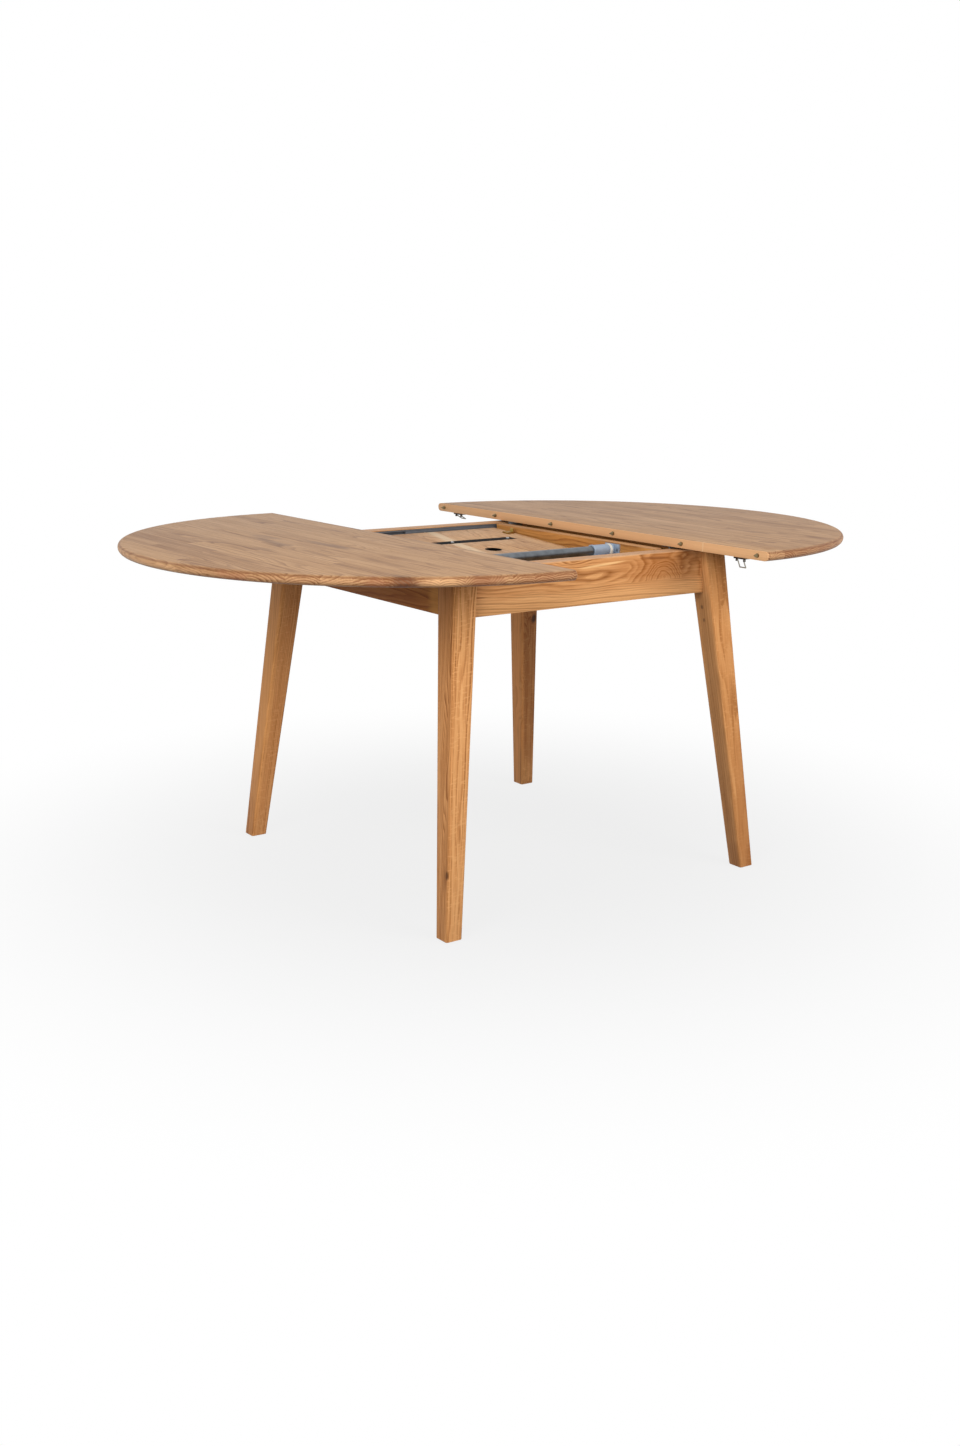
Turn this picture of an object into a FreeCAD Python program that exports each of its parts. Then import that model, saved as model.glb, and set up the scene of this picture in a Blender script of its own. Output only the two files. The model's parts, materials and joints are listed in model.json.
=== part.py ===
import FreeCAD, Part
import math
import os

from FreeCAD import Vector

os.makedirs("parts", exist_ok=True)

# Round extension table in oak. The top is split into two halves that slide apart on steel bars.
# A folding leaf lies in the frame, swings over on a tube and unfolds between the halves.
# X runs along the slides, Y along the straight edges of the halves, Z up.
# The origin is on the floor below the middle. All sizes are in millimetres.

# Table top
top_diameter = 1200.0
top_thickness = 20.0
table_height = 755.0
rim_set_in = 7.0            # how far the rounded rim draws in at its top and bottom
rim_crest_depth = 9.5       # depth of the rim's fullest line below the top face

# Folding leaf
leaf_width = 410.0          # width that the leaf adds to the table
opening_spare = 45.0        # how far each half opens past the leaf's edge
leaf_side_gap = 2.0         # from the leaf's pins to the cross rail
leaf_end_gap = 8.0          # from the stored leaf's far end to the guide channel
fold_gap = 0.3              # between the two panels, folded or flat
pivot_drop = 19.75          # from the underside of the top down to the tube's axis
pivot_set_over = 5.0        # from the middle of a swinging panel to the tube, towards the near side
stored_tilt = 3.5           # degrees that the stored leaf rises towards the far side

# Pivot tube, saddles and sockets
tube_radius = 11.0
tube_wall = 2.5
running_clearance = 0.05
saddle_spacing = 350.0
saddle_length = 46.0
saddle_radius = 13.2
saddle_lip_radius = 14.2
saddle_lip_length = 3.0
saddle_plate = 3.0
saddle_plate_length = 70.0
saddle_web = 16.0
washer_length = 6.0
washer_radius = 14.0
socket_collar_radius = 14.5
socket_collar_length = 4.0
socket_neck_radius = 12.6
socket_flange_length = 48.0
socket_flange_height = 26.0
socket_flange = 4.0
socket_end_wall = 2.0

# Leaf stops, which the leaf's short end presses up against
stop_overlap = 13.0
stop_width = 25.0
stop_height = 24.0

# Alignment pins in the straight edges
pin_radius = 4.5
pin_proud = 10.0
pin_tip_length = 8.0
pin_tip_radius = 1.2
pin_seat = 18.0
pin_end_gap = 30.0          # from the rim to the outermost pin
pins_per_panel = 3
pin_clearance = 0.3
pin_hole_spare = 3.0

# Anti-warp channels let into the undersides
brace_width = 30.0
brace_depth = 8.0
brace_wall = 2.0
leaf_brace_left_gap = 10.0   # from the leaf's left edge to its brace
leaf_brace_right_gap = 45.0  # from its brace to the leaf's right edge
leaf_brace_end_gap = 145.0   # from the panel's outer end
half_brace_y = 180.0
half_brace_start = 60.0
half_brace_length = 360.0
brace_screw_inset = 17.0
brace_screw_length = 14.0

# Finger cup in the swinging panel
cup_radius = 20.0
cup_wall = 2.0
cup_depth = 13.0
cup_x = 21.0
cup_end_gap = 255.0         # from the panel's outer end

# Hinges between the two panels of the leaf
hinge_spacing = 300.0
hinge_length = 36.0
hinge_plate_width = 24.0
hinge_plate = 2.0
knuckle_radius = 2.6
knuckle_length = 11.4       # the middle knuckle
knuckle_gap = 0.3
hinge_pin_radius = 1.2

# Clips that hold the halves and the leaf together
clip_end_gap = 85.0         # from the rim
clip_plate = 3.5
clip_inset = 2.0
clip_length = 30.0
clip_width = 30.0
bail_wire = 1.25            # radius of the wire
bail_reach = 18.0
bail_half_width = 8.5
bail_lean = {"near": 25.0, "far": 60.0}  # degrees from hanging, towards +X
bail_pivot_x = 8.0          # from the half's straight edge
bail_pivot_drop = 6.0       # below the underside of the top
ear_length = 6.0
ear_thickness = 1.8
ear_gap = 0.35
keeper_inset = 4.0
keeper_length = 22.0
keeper_width = 20.0
keeper_post = 2.5
keeper_post_width = 12.0
keeper_post_height = 8.0

# Frame of aprons, cross rails and legs
frame_gap = 4.0             # between the frame and the halves that slide over it
frame_reach = 96.0          # from an open half's straight edge to the frame's end face
apron_height = 96.5
apron_thickness = 22.0
cross_rail_height = 80.0
leg_proud_end = 17.0
leg_proud_side = 13.5
leg_top_size = 58.0
foot_size = 38.5
splay_x = 64.5
splay_y = 73.0
leg_round = 4.0

# Guide channels and slide bars
channel_depth = 10.0
cleat_thickness = 18.0      # wooden cleat between the channel and the apron
channel_wall = 3.0
groove_height = 15.0
channel_drop = 2.0          # from the frame's top down to the channel
channel_end_gap = 4.0       # from the channel's end to the bar's furthest place
slide_gap = 0.3
bar_leg_gap = 6.0
bracket_plate = 4.0
bracket_flange = 3.0
bracket_flange_width = 26.0
bracket_inset = 8.0
notch_gap = 2.0
stop_screw_radius = 3.5
stop_screw_place = 55.0     # from the bar's inner end

# Corner brackets, bolts and glides
corner_plate = 3.0
corner_height = 40.0
corner_lift = 8.0           # above the aprons' lower edge
corner_flange = 16.0
corner_rail_gap = 27.0      # from the cross rail to the corner bracket
bolt_radius = 4.0
bolt_length = 72.0
bolt_inside = 12.0
nut_flats = 13.0
nut_height = 6.5
glide_height = 2.5
glide_radius = 11.0
top_glide_length = 40.0
top_glide_width = 16.0
top_glide_y = 120.0

# Wood screws
screw_radius = 2.0
screw_head_radius = 4.0
screw_head_height = 2.2
screw_length = 11.0
channel_screw_place = 200.0

# Places worked out from the sizes above
top_radius = top_diameter / 2
underside = table_height - top_thickness
frame_top = underside - frame_gap
half_travel = leaf_width / 2 + opening_spare
leaf_edge = leaf_width / 2
cross_rail_face = leaf_edge + pin_proud + leaf_side_gap
cross_rail_back = cross_rail_face + apron_thickness
pivot_y = -top_radius / 4 - pivot_set_over
channel_front = 2 * pivot_y + top_radius + leaf_end_gap
channel_back = channel_front + channel_depth
apron_inner_y = channel_back + cleat_thickness
slide_room_y = channel_front - 2 * slide_gap - bracket_plate - notch_gap
apron_face_y = apron_inner_y + apron_thickness
apron_face_x = half_travel + frame_reach
apron_inner_x = apron_face_x - apron_thickness
apron_foot = frame_top - apron_height
leg_x = apron_face_x + leg_proud_end
leg_y = apron_face_y + leg_proud_side
pin_height = table_height - top_thickness / 2
pin_spacing = (top_radius - pin_end_gap) / (pins_per_panel - 0.5)
pin_places = [(n + 0.5) * pin_spacing for n in range(pins_per_panel)]
clip_y = top_radius - clip_end_gap
leaf_brace_y = top_radius - leaf_brace_end_gap
cup_y = top_radius - cup_end_gap
pivot = Vector(0, pivot_y, underside - pivot_drop)
fold_axis = Vector(0, 0, table_height + fold_gap / 2)
along_x = Vector(1, 0, 0)
along_y = Vector(0, 1, 0)
upward = Vector(0, 0, 1)


def box(x0, x1, y0, y1, z0, z1):
    """Block between two corners."""
    return Part.makeBox(x1 - x0, y1 - y0, z1 - z0, Vector(x0, y0, z0))


def rod(start, direction, radius, length):
    """Round bar that starts at a point."""
    return Part.makeCylinder(radius, length, start, direction)


def joined(shapes):
    """One solid from shapes that touch or overlap."""
    return shapes[0].multiFuse(shapes[1:]).removeSplitter()


def mirrored_y(shape):
    return shape.mirror(Vector(0, 0, 0), along_y)


def both_sides(shape):
    """The shape and its mirror image on the table's other side."""
    return [shape, mirrored_y(shape)]


def four_corners(shape):
    """The shape and its images at the other three corners, keyed by side of X and side of Y."""
    over = shape.mirror(Vector(0, 0, 0), along_x)
    return {
        ("right", "far"): shape,
        ("left", "far"): over,
        ("right", "near"): mirrored_y(shape),
        ("left", "near"): mirrored_y(over),
    }


def slid(shapes, distance):
    """Copies of the shapes, moved along X."""
    return [s.translated(Vector(distance, 0, 0)) for s in shapes]


def turned(shape, centre, degrees):
    """A copy turned about an axis along X."""
    copy = shape.copy()
    copy.rotate(centre, along_x, degrees)
    return copy


def stowed(shapes):
    """Carries pieces of the swinging panel from the open leaf to where the leaf is stored."""
    return [turned(s, pivot, stored_tilt - 180) for s in shapes]


def folded(shapes):
    """Carries pieces of the free panel from the open leaf to where the leaf is stored."""
    return stowed([turned(s, fold_axis, 180) for s in shapes])


def save(name, shapes):
    """Writes one node, as separate solids."""
    solids = [solid for s in shapes for solid in s.Solids]
    whole = solids[0] if len(solids) == 1 else Part.makeCompound(solids)
    whole.exportStep("parts/" + name + ".step")


def pan_screw(seat, into, length=screw_length):
    """Screw with a low round head that stands on a surface."""
    out = into * -1
    rise = screw_head_height / 2
    skirt = rod(seat, out, screw_head_radius, rise)
    crown = Part.makeCone(screw_head_radius, screw_head_radius / 2, rise, seat + out * rise, out)
    return joined([skirt, crown, rod(seat, into, screw_radius, length)])


def flush_screw(seat, into, length=screw_length):
    """Screw with a countersunk head, level with the surface."""
    head = Part.makeCone(screw_head_radius, screw_radius, screw_head_height, seat, into)
    return joined([head, rod(seat, into, screw_radius, length)])


def pin(edge, y):
    """Alignment pin that points towards -X from a straight edge."""
    length = pin_seat + pin_proud - pin_tip_length
    body = rod(Vector(edge + pin_seat, y, pin_height), along_x * -1, pin_radius, length)
    tip_start = Vector(edge - pin_proud + pin_tip_length, y, pin_height)
    tip = Part.makeCone(pin_radius, pin_tip_radius, pin_tip_length, tip_start, along_x * -1)
    return joined([body, tip])


def pin_hole(edge, y):
    """Hole for a pin in the straight edge that faces +X."""
    depth = pin_proud + pin_hole_spare
    return rod(Vector(edge, y, pin_height), along_x * -1, pin_radius + pin_clearance, depth)


def pin_seat_hole(edge, y):
    return rod(Vector(edge, y, pin_height), along_x, pin_radius, pin_seat)


def rim_section(inner):
    """Section of the top in the YZ plane, from the rounded rim at -Y in to the plane y = inner."""
    crest = table_height - rim_crest_depth
    drawn_in = top_radius - rim_set_in
    bulge = rim_set_in * math.sqrt(0.5)
    lower = (top_thickness - rim_crest_depth) * math.sqrt(0.5)
    upper = rim_crest_depth * math.sqrt(0.5)
    bottom_in = Vector(0, inner, underside)
    bottom_out = Vector(0, -drawn_in, underside)
    side = Vector(0, -top_radius, crest)
    top_out = Vector(0, -drawn_in, table_height)
    top_in = Vector(0, inner, table_height)
    edges = [
        Part.makeLine(bottom_in, bottom_out),
        Part.Arc(bottom_out, Vector(0, -drawn_in - bulge, crest - lower), side).toShape(),
        Part.Arc(side, Vector(0, -drawn_in - bulge, crest + upper), top_out).toShape(),
        Part.makeLine(top_out, top_in),
        Part.makeLine(top_in, bottom_in),
    ]
    return Part.Face(Part.Wire(edges))


def half_board():
    """Half-round board with its straight edge on x = 0, to the +X side."""
    return rim_section(0).revolve(Vector(0, 0, 0), upward, 180)


def leaf_board():
    """Panel of the open leaf on the -Y side, with the rim's section at its outer end."""
    return rim_section(-fold_gap / 2).extrude(along_x * leaf_width).translated(Vector(-leaf_edge, 0, 0))


def brace(x0, x1, y):
    """Anti-warp channel with its legs let into the underside: the steel, the grooves for it and its screws."""
    side = brace_width / 2
    core = side - brace_wall
    outer = box(x0, x1, y - side, y + side, underside, underside + brace_depth)
    grooves = outer.cut(box(x0, x1, y - core, y + core, underside + brace_wall, underside + brace_depth))
    middle = (x0 + x1) / 2
    places = [x0 + brace_screw_inset, middle, x1 - brace_screw_inset]
    screws = [pan_screw(Vector(x, y, underside), upward, brace_screw_length) for x in places]
    return less(grooves, screws), grooves, screws


def keeper(edge, y):
    """Keeper under a board whose straight edge faces +X: its plate with a post, and its two screws."""
    back = edge - keeper_inset - keeper_length
    front = edge - keeper_inset
    plate = box(back, front, y - keeper_width / 2, y + keeper_width / 2, underside - clip_plate, underside)
    half = keeper_post_width / 2
    foot = underside - clip_plate - keeper_post_height
    post = box(front - keeper_post, front, y - half, y + half, foot, underside - clip_plate)
    middle = (back + front - keeper_post) / 2
    screws = [
        flush_screw(Vector(middle, y + side * keeper_width / 4, underside - clip_plate), upward)
        for side in (-1, 1)
    ]
    return joined([plate, post]).cut(Part.makeCompound(screws)), screws


def less(solid, tools):
    """A solid with the tools cut out of it."""
    return solid.cut(Part.makeCompound(tools))


def make_halves():
    """Both halves of the top with what is fixed to them, opened by the slides' travel."""
    brace_end = half_brace_start + half_brace_length
    braces = [brace(half_brace_start, brace_end, s * half_brace_y) for s in (-1, 1)]
    grooves = [b[1] for b in braces]
    screws = [s for b in braces for s in b[2]]
    places = [s * y for y in pin_places for s in (-1, 1)]

    def faced_left(shapes):
        """Copies turned half round, to the left half, with the straight edge still on x = 0."""
        copies = [s.copy() for s in shapes]
        for s in copies:
            s.rotate(Vector(0, 0, 0), upward, 180)
        return copies

    # Right half, with the pins and the clips
    bars, brackets, bracket_screws, stop_screws = slide_pieces(upper=True)
    plates, plate_screws = clip_plates()
    seats = [pin_seat_hole(0, y) for y in places]
    board = less(half_board(), grooves + screws + bracket_screws + plate_screws + seats)
    save("top_half_right", slid([board], half_travel))
    save("brace_channels_right", slid([b[0] for b in braces], half_travel))
    save("brace_screws_right", slid(screws, half_travel))
    save("alignment_pins", slid([pin(0, y) for y in places], half_travel))
    save("slide_bars_right", slid(bars, half_travel))
    save("slide_brackets_right", slid(brackets, half_travel))
    save("bracket_screws_right", slid(bracket_screws, half_travel))
    save("bar_stop_screws_right", slid(stop_screws, half_travel))
    save("clip_plates", slid(plates, half_travel))
    save("clip_screws", slid(plate_screws, half_travel))
    for name, side in (("far", 1), ("near", -1)):
        save("clip_bail_" + name, slid([bail(side * clip_y, bail_lean[name])], half_travel))

    # Left half, with the pin holes and the keepers
    bars, brackets, bracket_screws, stop_screws = slide_pieces(upper=False)
    keepers = [keeper(0, s * clip_y) for s in (-1, 1)]
    keeper_screws = [s for k in keepers for s in k[1]]
    holes = [pin_hole(0, y) for y in places]
    turned_pieces = faced_left([half_board()] + grooves + screws + bracket_screws)
    board = less(turned_pieces[0], turned_pieces[1:] + keeper_screws + holes)
    save("top_half_left", slid([board], -half_travel))
    save("brace_channels_left", slid(faced_left([b[0] for b in braces]), -half_travel))
    save("brace_screws_left", slid(faced_left(screws), -half_travel))
    save("slide_bars_left", slid(faced_left(bars), -half_travel))
    save("slide_brackets_left", slid(faced_left(brackets), -half_travel))
    save("bracket_screws_left", slid(faced_left(bracket_screws), -half_travel))
    save("bar_stop_screws_left", slid(faced_left(stop_screws), -half_travel))
    save("clip_keepers_left", slid([k[0] for k in keepers] + keeper_screws, -half_travel))


def slide_pieces(upper):
    """Bars, brackets and screws of one half, for a straight edge on x = 0 and the half to the +X side."""
    channel_top = frame_top - channel_drop
    groove_top = channel_top - channel_wall
    if not upper:
        groove_top = groove_top - groove_height - channel_wall
    bar_top = groove_top - slide_gap
    bar_foot = groove_top - groove_height + slide_gap
    front = channel_front - (slide_gap if upper else 2 * slide_gap)
    back = channel_back - channel_wall - slide_gap
    outer_end = leg_x - leg_top_size - bar_leg_gap - half_travel
    inner_end = -outer_end - half_travel
    bar = box(inner_end, outer_end, front, back, bar_foot, bar_top)
    middle = (bar_foot + bar_top) / 2
    place = Vector(inner_end + stop_screw_place, front, middle)
    stop_screw = rod(place, along_y, stop_screw_radius, (back - front) / 2)
    bar = bar.cut(stop_screw)
    flange_foot = underside - bracket_flange
    plate_front = front - bracket_plate
    plate = box(bracket_inset, outer_end, plate_front, front, bar_foot, underside)
    flange = box(bracket_inset, outer_end, front - bracket_flange_width, front, flange_foot, underside)
    screw_y = plate_front - (bracket_flange_width - bracket_plate) / 2
    quarter = (outer_end - bracket_inset) / 4
    screws = [
        flush_screw(Vector(x, screw_y, flange_foot), upward)
        for x in (bracket_inset + quarter, outer_end - quarter)
    ]
    bracket = less(joined([plate, flange]), screws)
    return (
        both_sides(bar),
        both_sides(bracket),
        [s for screw in screws for s in both_sides(screw)],
        both_sides(stop_screw),
    )


def clip_plates():
    """Clip plates with ears for the bails, and their screws, under the right half."""
    ear_inner = bail_half_width + bail_wire + ear_gap
    pivot_z = underside - bail_pivot_drop
    plates = []
    screws = []
    for side in (-1, 1):
        y = side * clip_y
        reach = clip_width / 2
        plate = box(
            clip_inset, clip_inset + clip_length, y - reach, y + reach, underside - clip_plate, underside
        )
        shapes = [plate]
        for ear in (-1, 1):
            inner = y + ear * ear_inner
            outer = inner + ear * ear_thickness
            x0 = bail_pivot_x - ear_length / 2
            x1 = bail_pivot_x + ear_length / 2
            foot = pivot_z - ear_length / 2
            shapes.append(box(x0, x1, min(inner, outer), max(inner, outer), foot, underside - clip_plate))
        bore_radius = bail_wire + running_clearance
        bore = rod(Vector(bail_pivot_x, y - reach, pivot_z), along_y, bore_radius, clip_width)
        screw_x = (bail_pivot_x + ear_length / 2 + clip_inset + clip_length) / 2
        own = [
            flush_screw(Vector(screw_x, y + s * reach / 2, underside - clip_plate), upward)
            for s in (-1, 1)
        ]
        plates.append(less(joined(shapes), [bore] + own))
        screws += own
    return plates, screws


def bail(y, lean):
    """Wire loop on the ears of a clip plate, left at a lean."""
    top = underside - bail_pivot_drop
    foot = top - bail_reach
    journal = bail_wire + ear_gap + ear_thickness
    shapes = [rod(Vector(bail_pivot_x, y - bail_half_width, foot), along_y, bail_wire, 2 * bail_half_width)]
    for side in (-1, 1):
        arm_y = y + side * bail_half_width
        shapes.append(rod(Vector(bail_pivot_x, arm_y, foot), upward, bail_wire, bail_reach))
        shapes.append(rod(Vector(bail_pivot_x, arm_y, top), along_y * side, bail_wire, journal))
        shapes.append(Part.makeSphere(bail_wire, Vector(bail_pivot_x, arm_y, foot)))
        shapes.append(Part.makeSphere(bail_wire, Vector(bail_pivot_x, arm_y, top)))
    loop = joined(shapes)
    loop.rotate(Vector(bail_pivot_x, y, top), along_y, -lean)
    return loop


def saddle(x):
    """Saddle that carries the swinging panel on the tube, in the open leaf's place, and its screws."""
    half = saddle_length / 2
    inward = -1 if x > 0 else 1
    plate_foot = underside - saddle_plate
    reach = saddle_plate_length / 2
    plate = box(x - half, x + half, pivot.y - reach, pivot.y + reach, plate_foot, underside)
    web = box(x - half, x + half, pivot.y - saddle_web / 2, pivot.y + saddle_web / 2, pivot.z, plate_foot)
    sleeve = rod(Vector(x - half, pivot.y, pivot.z), along_x, saddle_radius, saddle_length)
    lip_start = Vector(x + inward * half, pivot.y, pivot.z)
    lip = rod(lip_start, along_x * -inward, saddle_lip_radius, saddle_lip_length)
    bore_radius = tube_radius + running_clearance
    bore = rod(Vector(x - half, pivot.y, pivot.z), along_x, bore_radius, saddle_length)
    screw_y = (saddle_lip_radius + reach) / 2
    length = screw_length + saddle_plate
    screws = [
        flush_screw(Vector(x + sx * half / 2, pivot.y + sy * screw_y, plate_foot), upward, length)
        for sx in (-1, 1)
        for sy in (-1, 1)
    ]
    return less(joined([plate, web, sleeve, lip]), [bore] + screws), screws


def hinge(x):
    """Hinge set flush in the good faces of the open leaf: swing plate, flap plate, pin and clearance."""
    half = hinge_length / 2
    middle = knuckle_length / 2
    foot = table_height - hinge_plate
    room_start = Vector(x - half - knuckle_gap, 0, fold_axis.z)
    room = rod(room_start, along_x, knuckle_radius + fold_gap, hinge_length + 2 * knuckle_gap)
    pin_rod = rod(Vector(x - half, 0, fold_axis.z), along_x, hinge_pin_radius, hinge_length)

    def plate(side, spans):
        y_far = side * hinge_plate_width
        y_near = side * fold_gap / 2
        leaf = box(x - half, x + half, min(y_far, y_near), max(y_far, y_near), foot, table_height).cut(room)
        shapes = [leaf]
        for start, end in spans:
            arm_y = side * (knuckle_radius + 2 * fold_gap)
            shapes.append(box(x + start, x + end, min(0, arm_y), max(0, arm_y), foot, table_height))
            shapes.append(rod(Vector(x + start, 0, fold_axis.z), along_x, knuckle_radius, end - start))
        return joined(shapes)

    outer = [(-half, -middle - knuckle_gap), (middle + knuckle_gap, half)]
    swing_plate = plate(-1, outer).cut(pin_rod)
    bore = rod(Vector(x - half, 0, fold_axis.z), along_x, hinge_pin_radius + running_clearance, hinge_length)
    flap_plate = plate(1, [(-middle, middle)]).cut(bore)
    return swing_plate, flap_plate, pin_rod, room


def finger_cup():
    """Cup let into the underside of the swinging panel, and the hole for it."""
    mouth = Vector(cup_x, -cup_y, underside)
    hole = rod(mouth, upward, cup_radius, cup_depth)
    hollow = rod(mouth, upward, cup_radius - cup_wall, cup_depth - cup_wall)
    return hole.cut(hollow), hole


def make_leaf():
    """Both panels of the leaf with their hardware, built open and then stored."""
    hinges = [hinge(s * hinge_spacing / 2) for s in (-1, 1)]
    rooms = [h[3] for h in hinges]
    brace_start = leaf_brace_left_gap - leaf_edge
    brace_end = leaf_edge - leaf_brace_right_gap

    # Swinging panel, which lies uppermost when the leaf is stored
    steel, grooves, brace_screws = brace(brace_start, brace_end, -leaf_brace_y)
    saddles = [saddle(s * saddle_spacing / 2) for s in (-1, 1)]
    saddle_screws = [s for pair in saddles for s in pair[1]]
    cup, cup_hole = finger_cup()
    hook, hook_screws = keeper(leaf_edge, -clip_y)
    places = [-y for y in pin_places]
    cuts = [grooves, cup_hole] + brace_screws + saddle_screws + hook_screws + rooms
    cuts += [pin_hole(leaf_edge, y) for y in places] + [pin_seat_hole(-leaf_edge, y) for y in places]
    cuts += [plate_recess(s * hinge_spacing / 2, -1) for s in (-1, 1)]
    save("leaf_panel_swing", stowed([less(leaf_board(), cuts)]))
    save("leaf_saddles", stowed([pair[0] for pair in saddles]))
    save("saddle_screws", stowed(saddle_screws))
    save("leaf_brace_swing", stowed([steel]))
    save("leaf_brace_screws_swing", stowed(brace_screws))
    save("finger_cup", stowed([cup]))
    save("leaf_keeper_swing", stowed([hook] + hook_screws))
    save("leaf_pins_swing", stowed([pin(-leaf_edge, y) for y in places]))
    save("leaf_hinge_plates_swing", stowed([h[0] for h in hinges]))
    save("leaf_hinge_pins", stowed([h[2] for h in hinges]))

    # Free panel, which lies below when the leaf is stored
    steel, grooves, brace_screws = brace(brace_start, brace_end, leaf_brace_y)
    hook, hook_screws = keeper(leaf_edge, clip_y)
    cuts = [grooves] + brace_screws + hook_screws + rooms
    cuts += [pin_hole(leaf_edge, y) for y in pin_places] + [pin_seat_hole(-leaf_edge, y) for y in pin_places]
    cuts += [plate_recess(s * hinge_spacing / 2, 1) for s in (-1, 1)]
    save("leaf_panel_flap", folded([less(mirrored_y(leaf_board()), cuts)]))
    save("leaf_brace_flap", folded([steel]))
    save("leaf_brace_screws_flap", folded(brace_screws))
    save("leaf_keeper_flap", folded([hook] + hook_screws))
    save("leaf_pins_flap", folded([pin(-leaf_edge, y) for y in pin_places]))
    save("leaf_hinge_plates_flap", folded([h[1] for h in hinges]))


def plate_recess(x, side):
    """Recess for a hinge plate in the good face, on one side of the fold."""
    half = hinge_length / 2
    far = side * hinge_plate_width
    return box(x - half, x + half, min(far, 0), max(far, 0), table_height - hinge_plate, table_height)


def rounded_square(x, y, size, z):
    """Square outline with rounded corners; x and y are its outer sides."""
    x0 = x - size
    y0 = y - size
    face = Part.Face(Part.makePolygon([
        Vector(x0, y0, z), Vector(x, y0, z), Vector(x, y, z), Vector(x0, y, z), Vector(x0, y0, z)
    ]))
    block = face.extrude(upward)
    uprights = [e for e in block.Edges if abs(e.tangentAt(e.FirstParameter).z) > 0.5]
    rounded = block.makeFillet(leg_round, uprights)
    return min(rounded.Faces, key=lambda f: f.CenterOfMass.z).OuterWire


def leg_solid():
    """Leg at the far right corner, tapered and splayed both ways."""
    upper = rounded_square(leg_x, leg_y, leg_top_size, frame_top)
    lower = rounded_square(leg_x + splay_x, leg_y + splay_y, foot_size, glide_height)
    return Part.makeLoft([lower, upper], True, True)


def corner_hardware():
    """Steel corner bracket at the far right corner, with its bolt and nut."""
    z0 = apron_foot + corner_lift
    z1 = z0 + corner_height
    rail_side = cross_rail_back + corner_rail_gap
    bend_x = rail_side + corner_flange
    span = apron_inner_x - bend_x
    bend_y = apron_inner_y - span
    t = corner_plate
    slant = t * math.tan(math.radians(22.5))
    outline = [
        (rail_side, apron_inner_y), (bend_x, apron_inner_y), (apron_inner_x, bend_y),
        (apron_inner_x, bend_y - corner_flange), (apron_inner_x - t, bend_y - corner_flange),
        (apron_inner_x - t, bend_y - slant), (bend_x - slant, apron_inner_y - t),
        (rail_side, apron_inner_y - t),
    ]
    points = [Vector(x, y, z0) for x, y in outline]
    plate = Part.Face(Part.makePolygon(points + points[:1])).extrude(upward * corner_height)
    outward = Vector(1, 1, 0).normalize()
    centre = Vector((bend_x + apron_inner_x) / 2, (bend_y + apron_inner_y) / 2, (z0 + z1) / 2)
    inner_face = centre - outward * t
    bolt = rod(inner_face - outward * bolt_inside, outward, bolt_radius, bolt_length)
    corner = nut_flats / math.sqrt(3)
    nut_start = inner_face - outward * nut_height
    side = Vector(-1, 1, 0).normalize()
    ring = []
    for n in range(7):
        angle = math.radians(60 * n)
        ring.append(nut_start + side * (corner * math.cos(angle)) + upward * (corner * math.sin(angle)))
    nut = Part.Face(Part.makePolygon(ring)).extrude(outward * nut_height)
    return plate.cut(bolt), bolt, nut.cut(bolt)


def guide_channel():
    """Steel channel on the far cleat, with one groove above the other."""
    end = leg_x - leg_top_size - bar_leg_gap - channel_end_gap
    top = frame_top - channel_drop
    foot = top - 3 * channel_wall - 2 * groove_height
    back = channel_back - channel_wall
    steel = box(-end, end, channel_front, channel_back, foot, top)
    cleat = box(-end, end, channel_back, apron_inner_y, foot, frame_top)
    lower = box(-end, end, channel_front, back, foot + channel_wall, foot + channel_wall + groove_height)
    upper = box(-end, end, channel_front, back, top - channel_wall - groove_height, top - channel_wall)
    screw_z = foot + channel_wall + groove_height / 2
    places = [-channel_screw_place, 0, channel_screw_place]
    screws = [flush_screw(Vector(x, back, screw_z), along_y) for x in places]
    return less(steel, [lower, upper] + screws), less(cleat, screws), screws, foot


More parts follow.
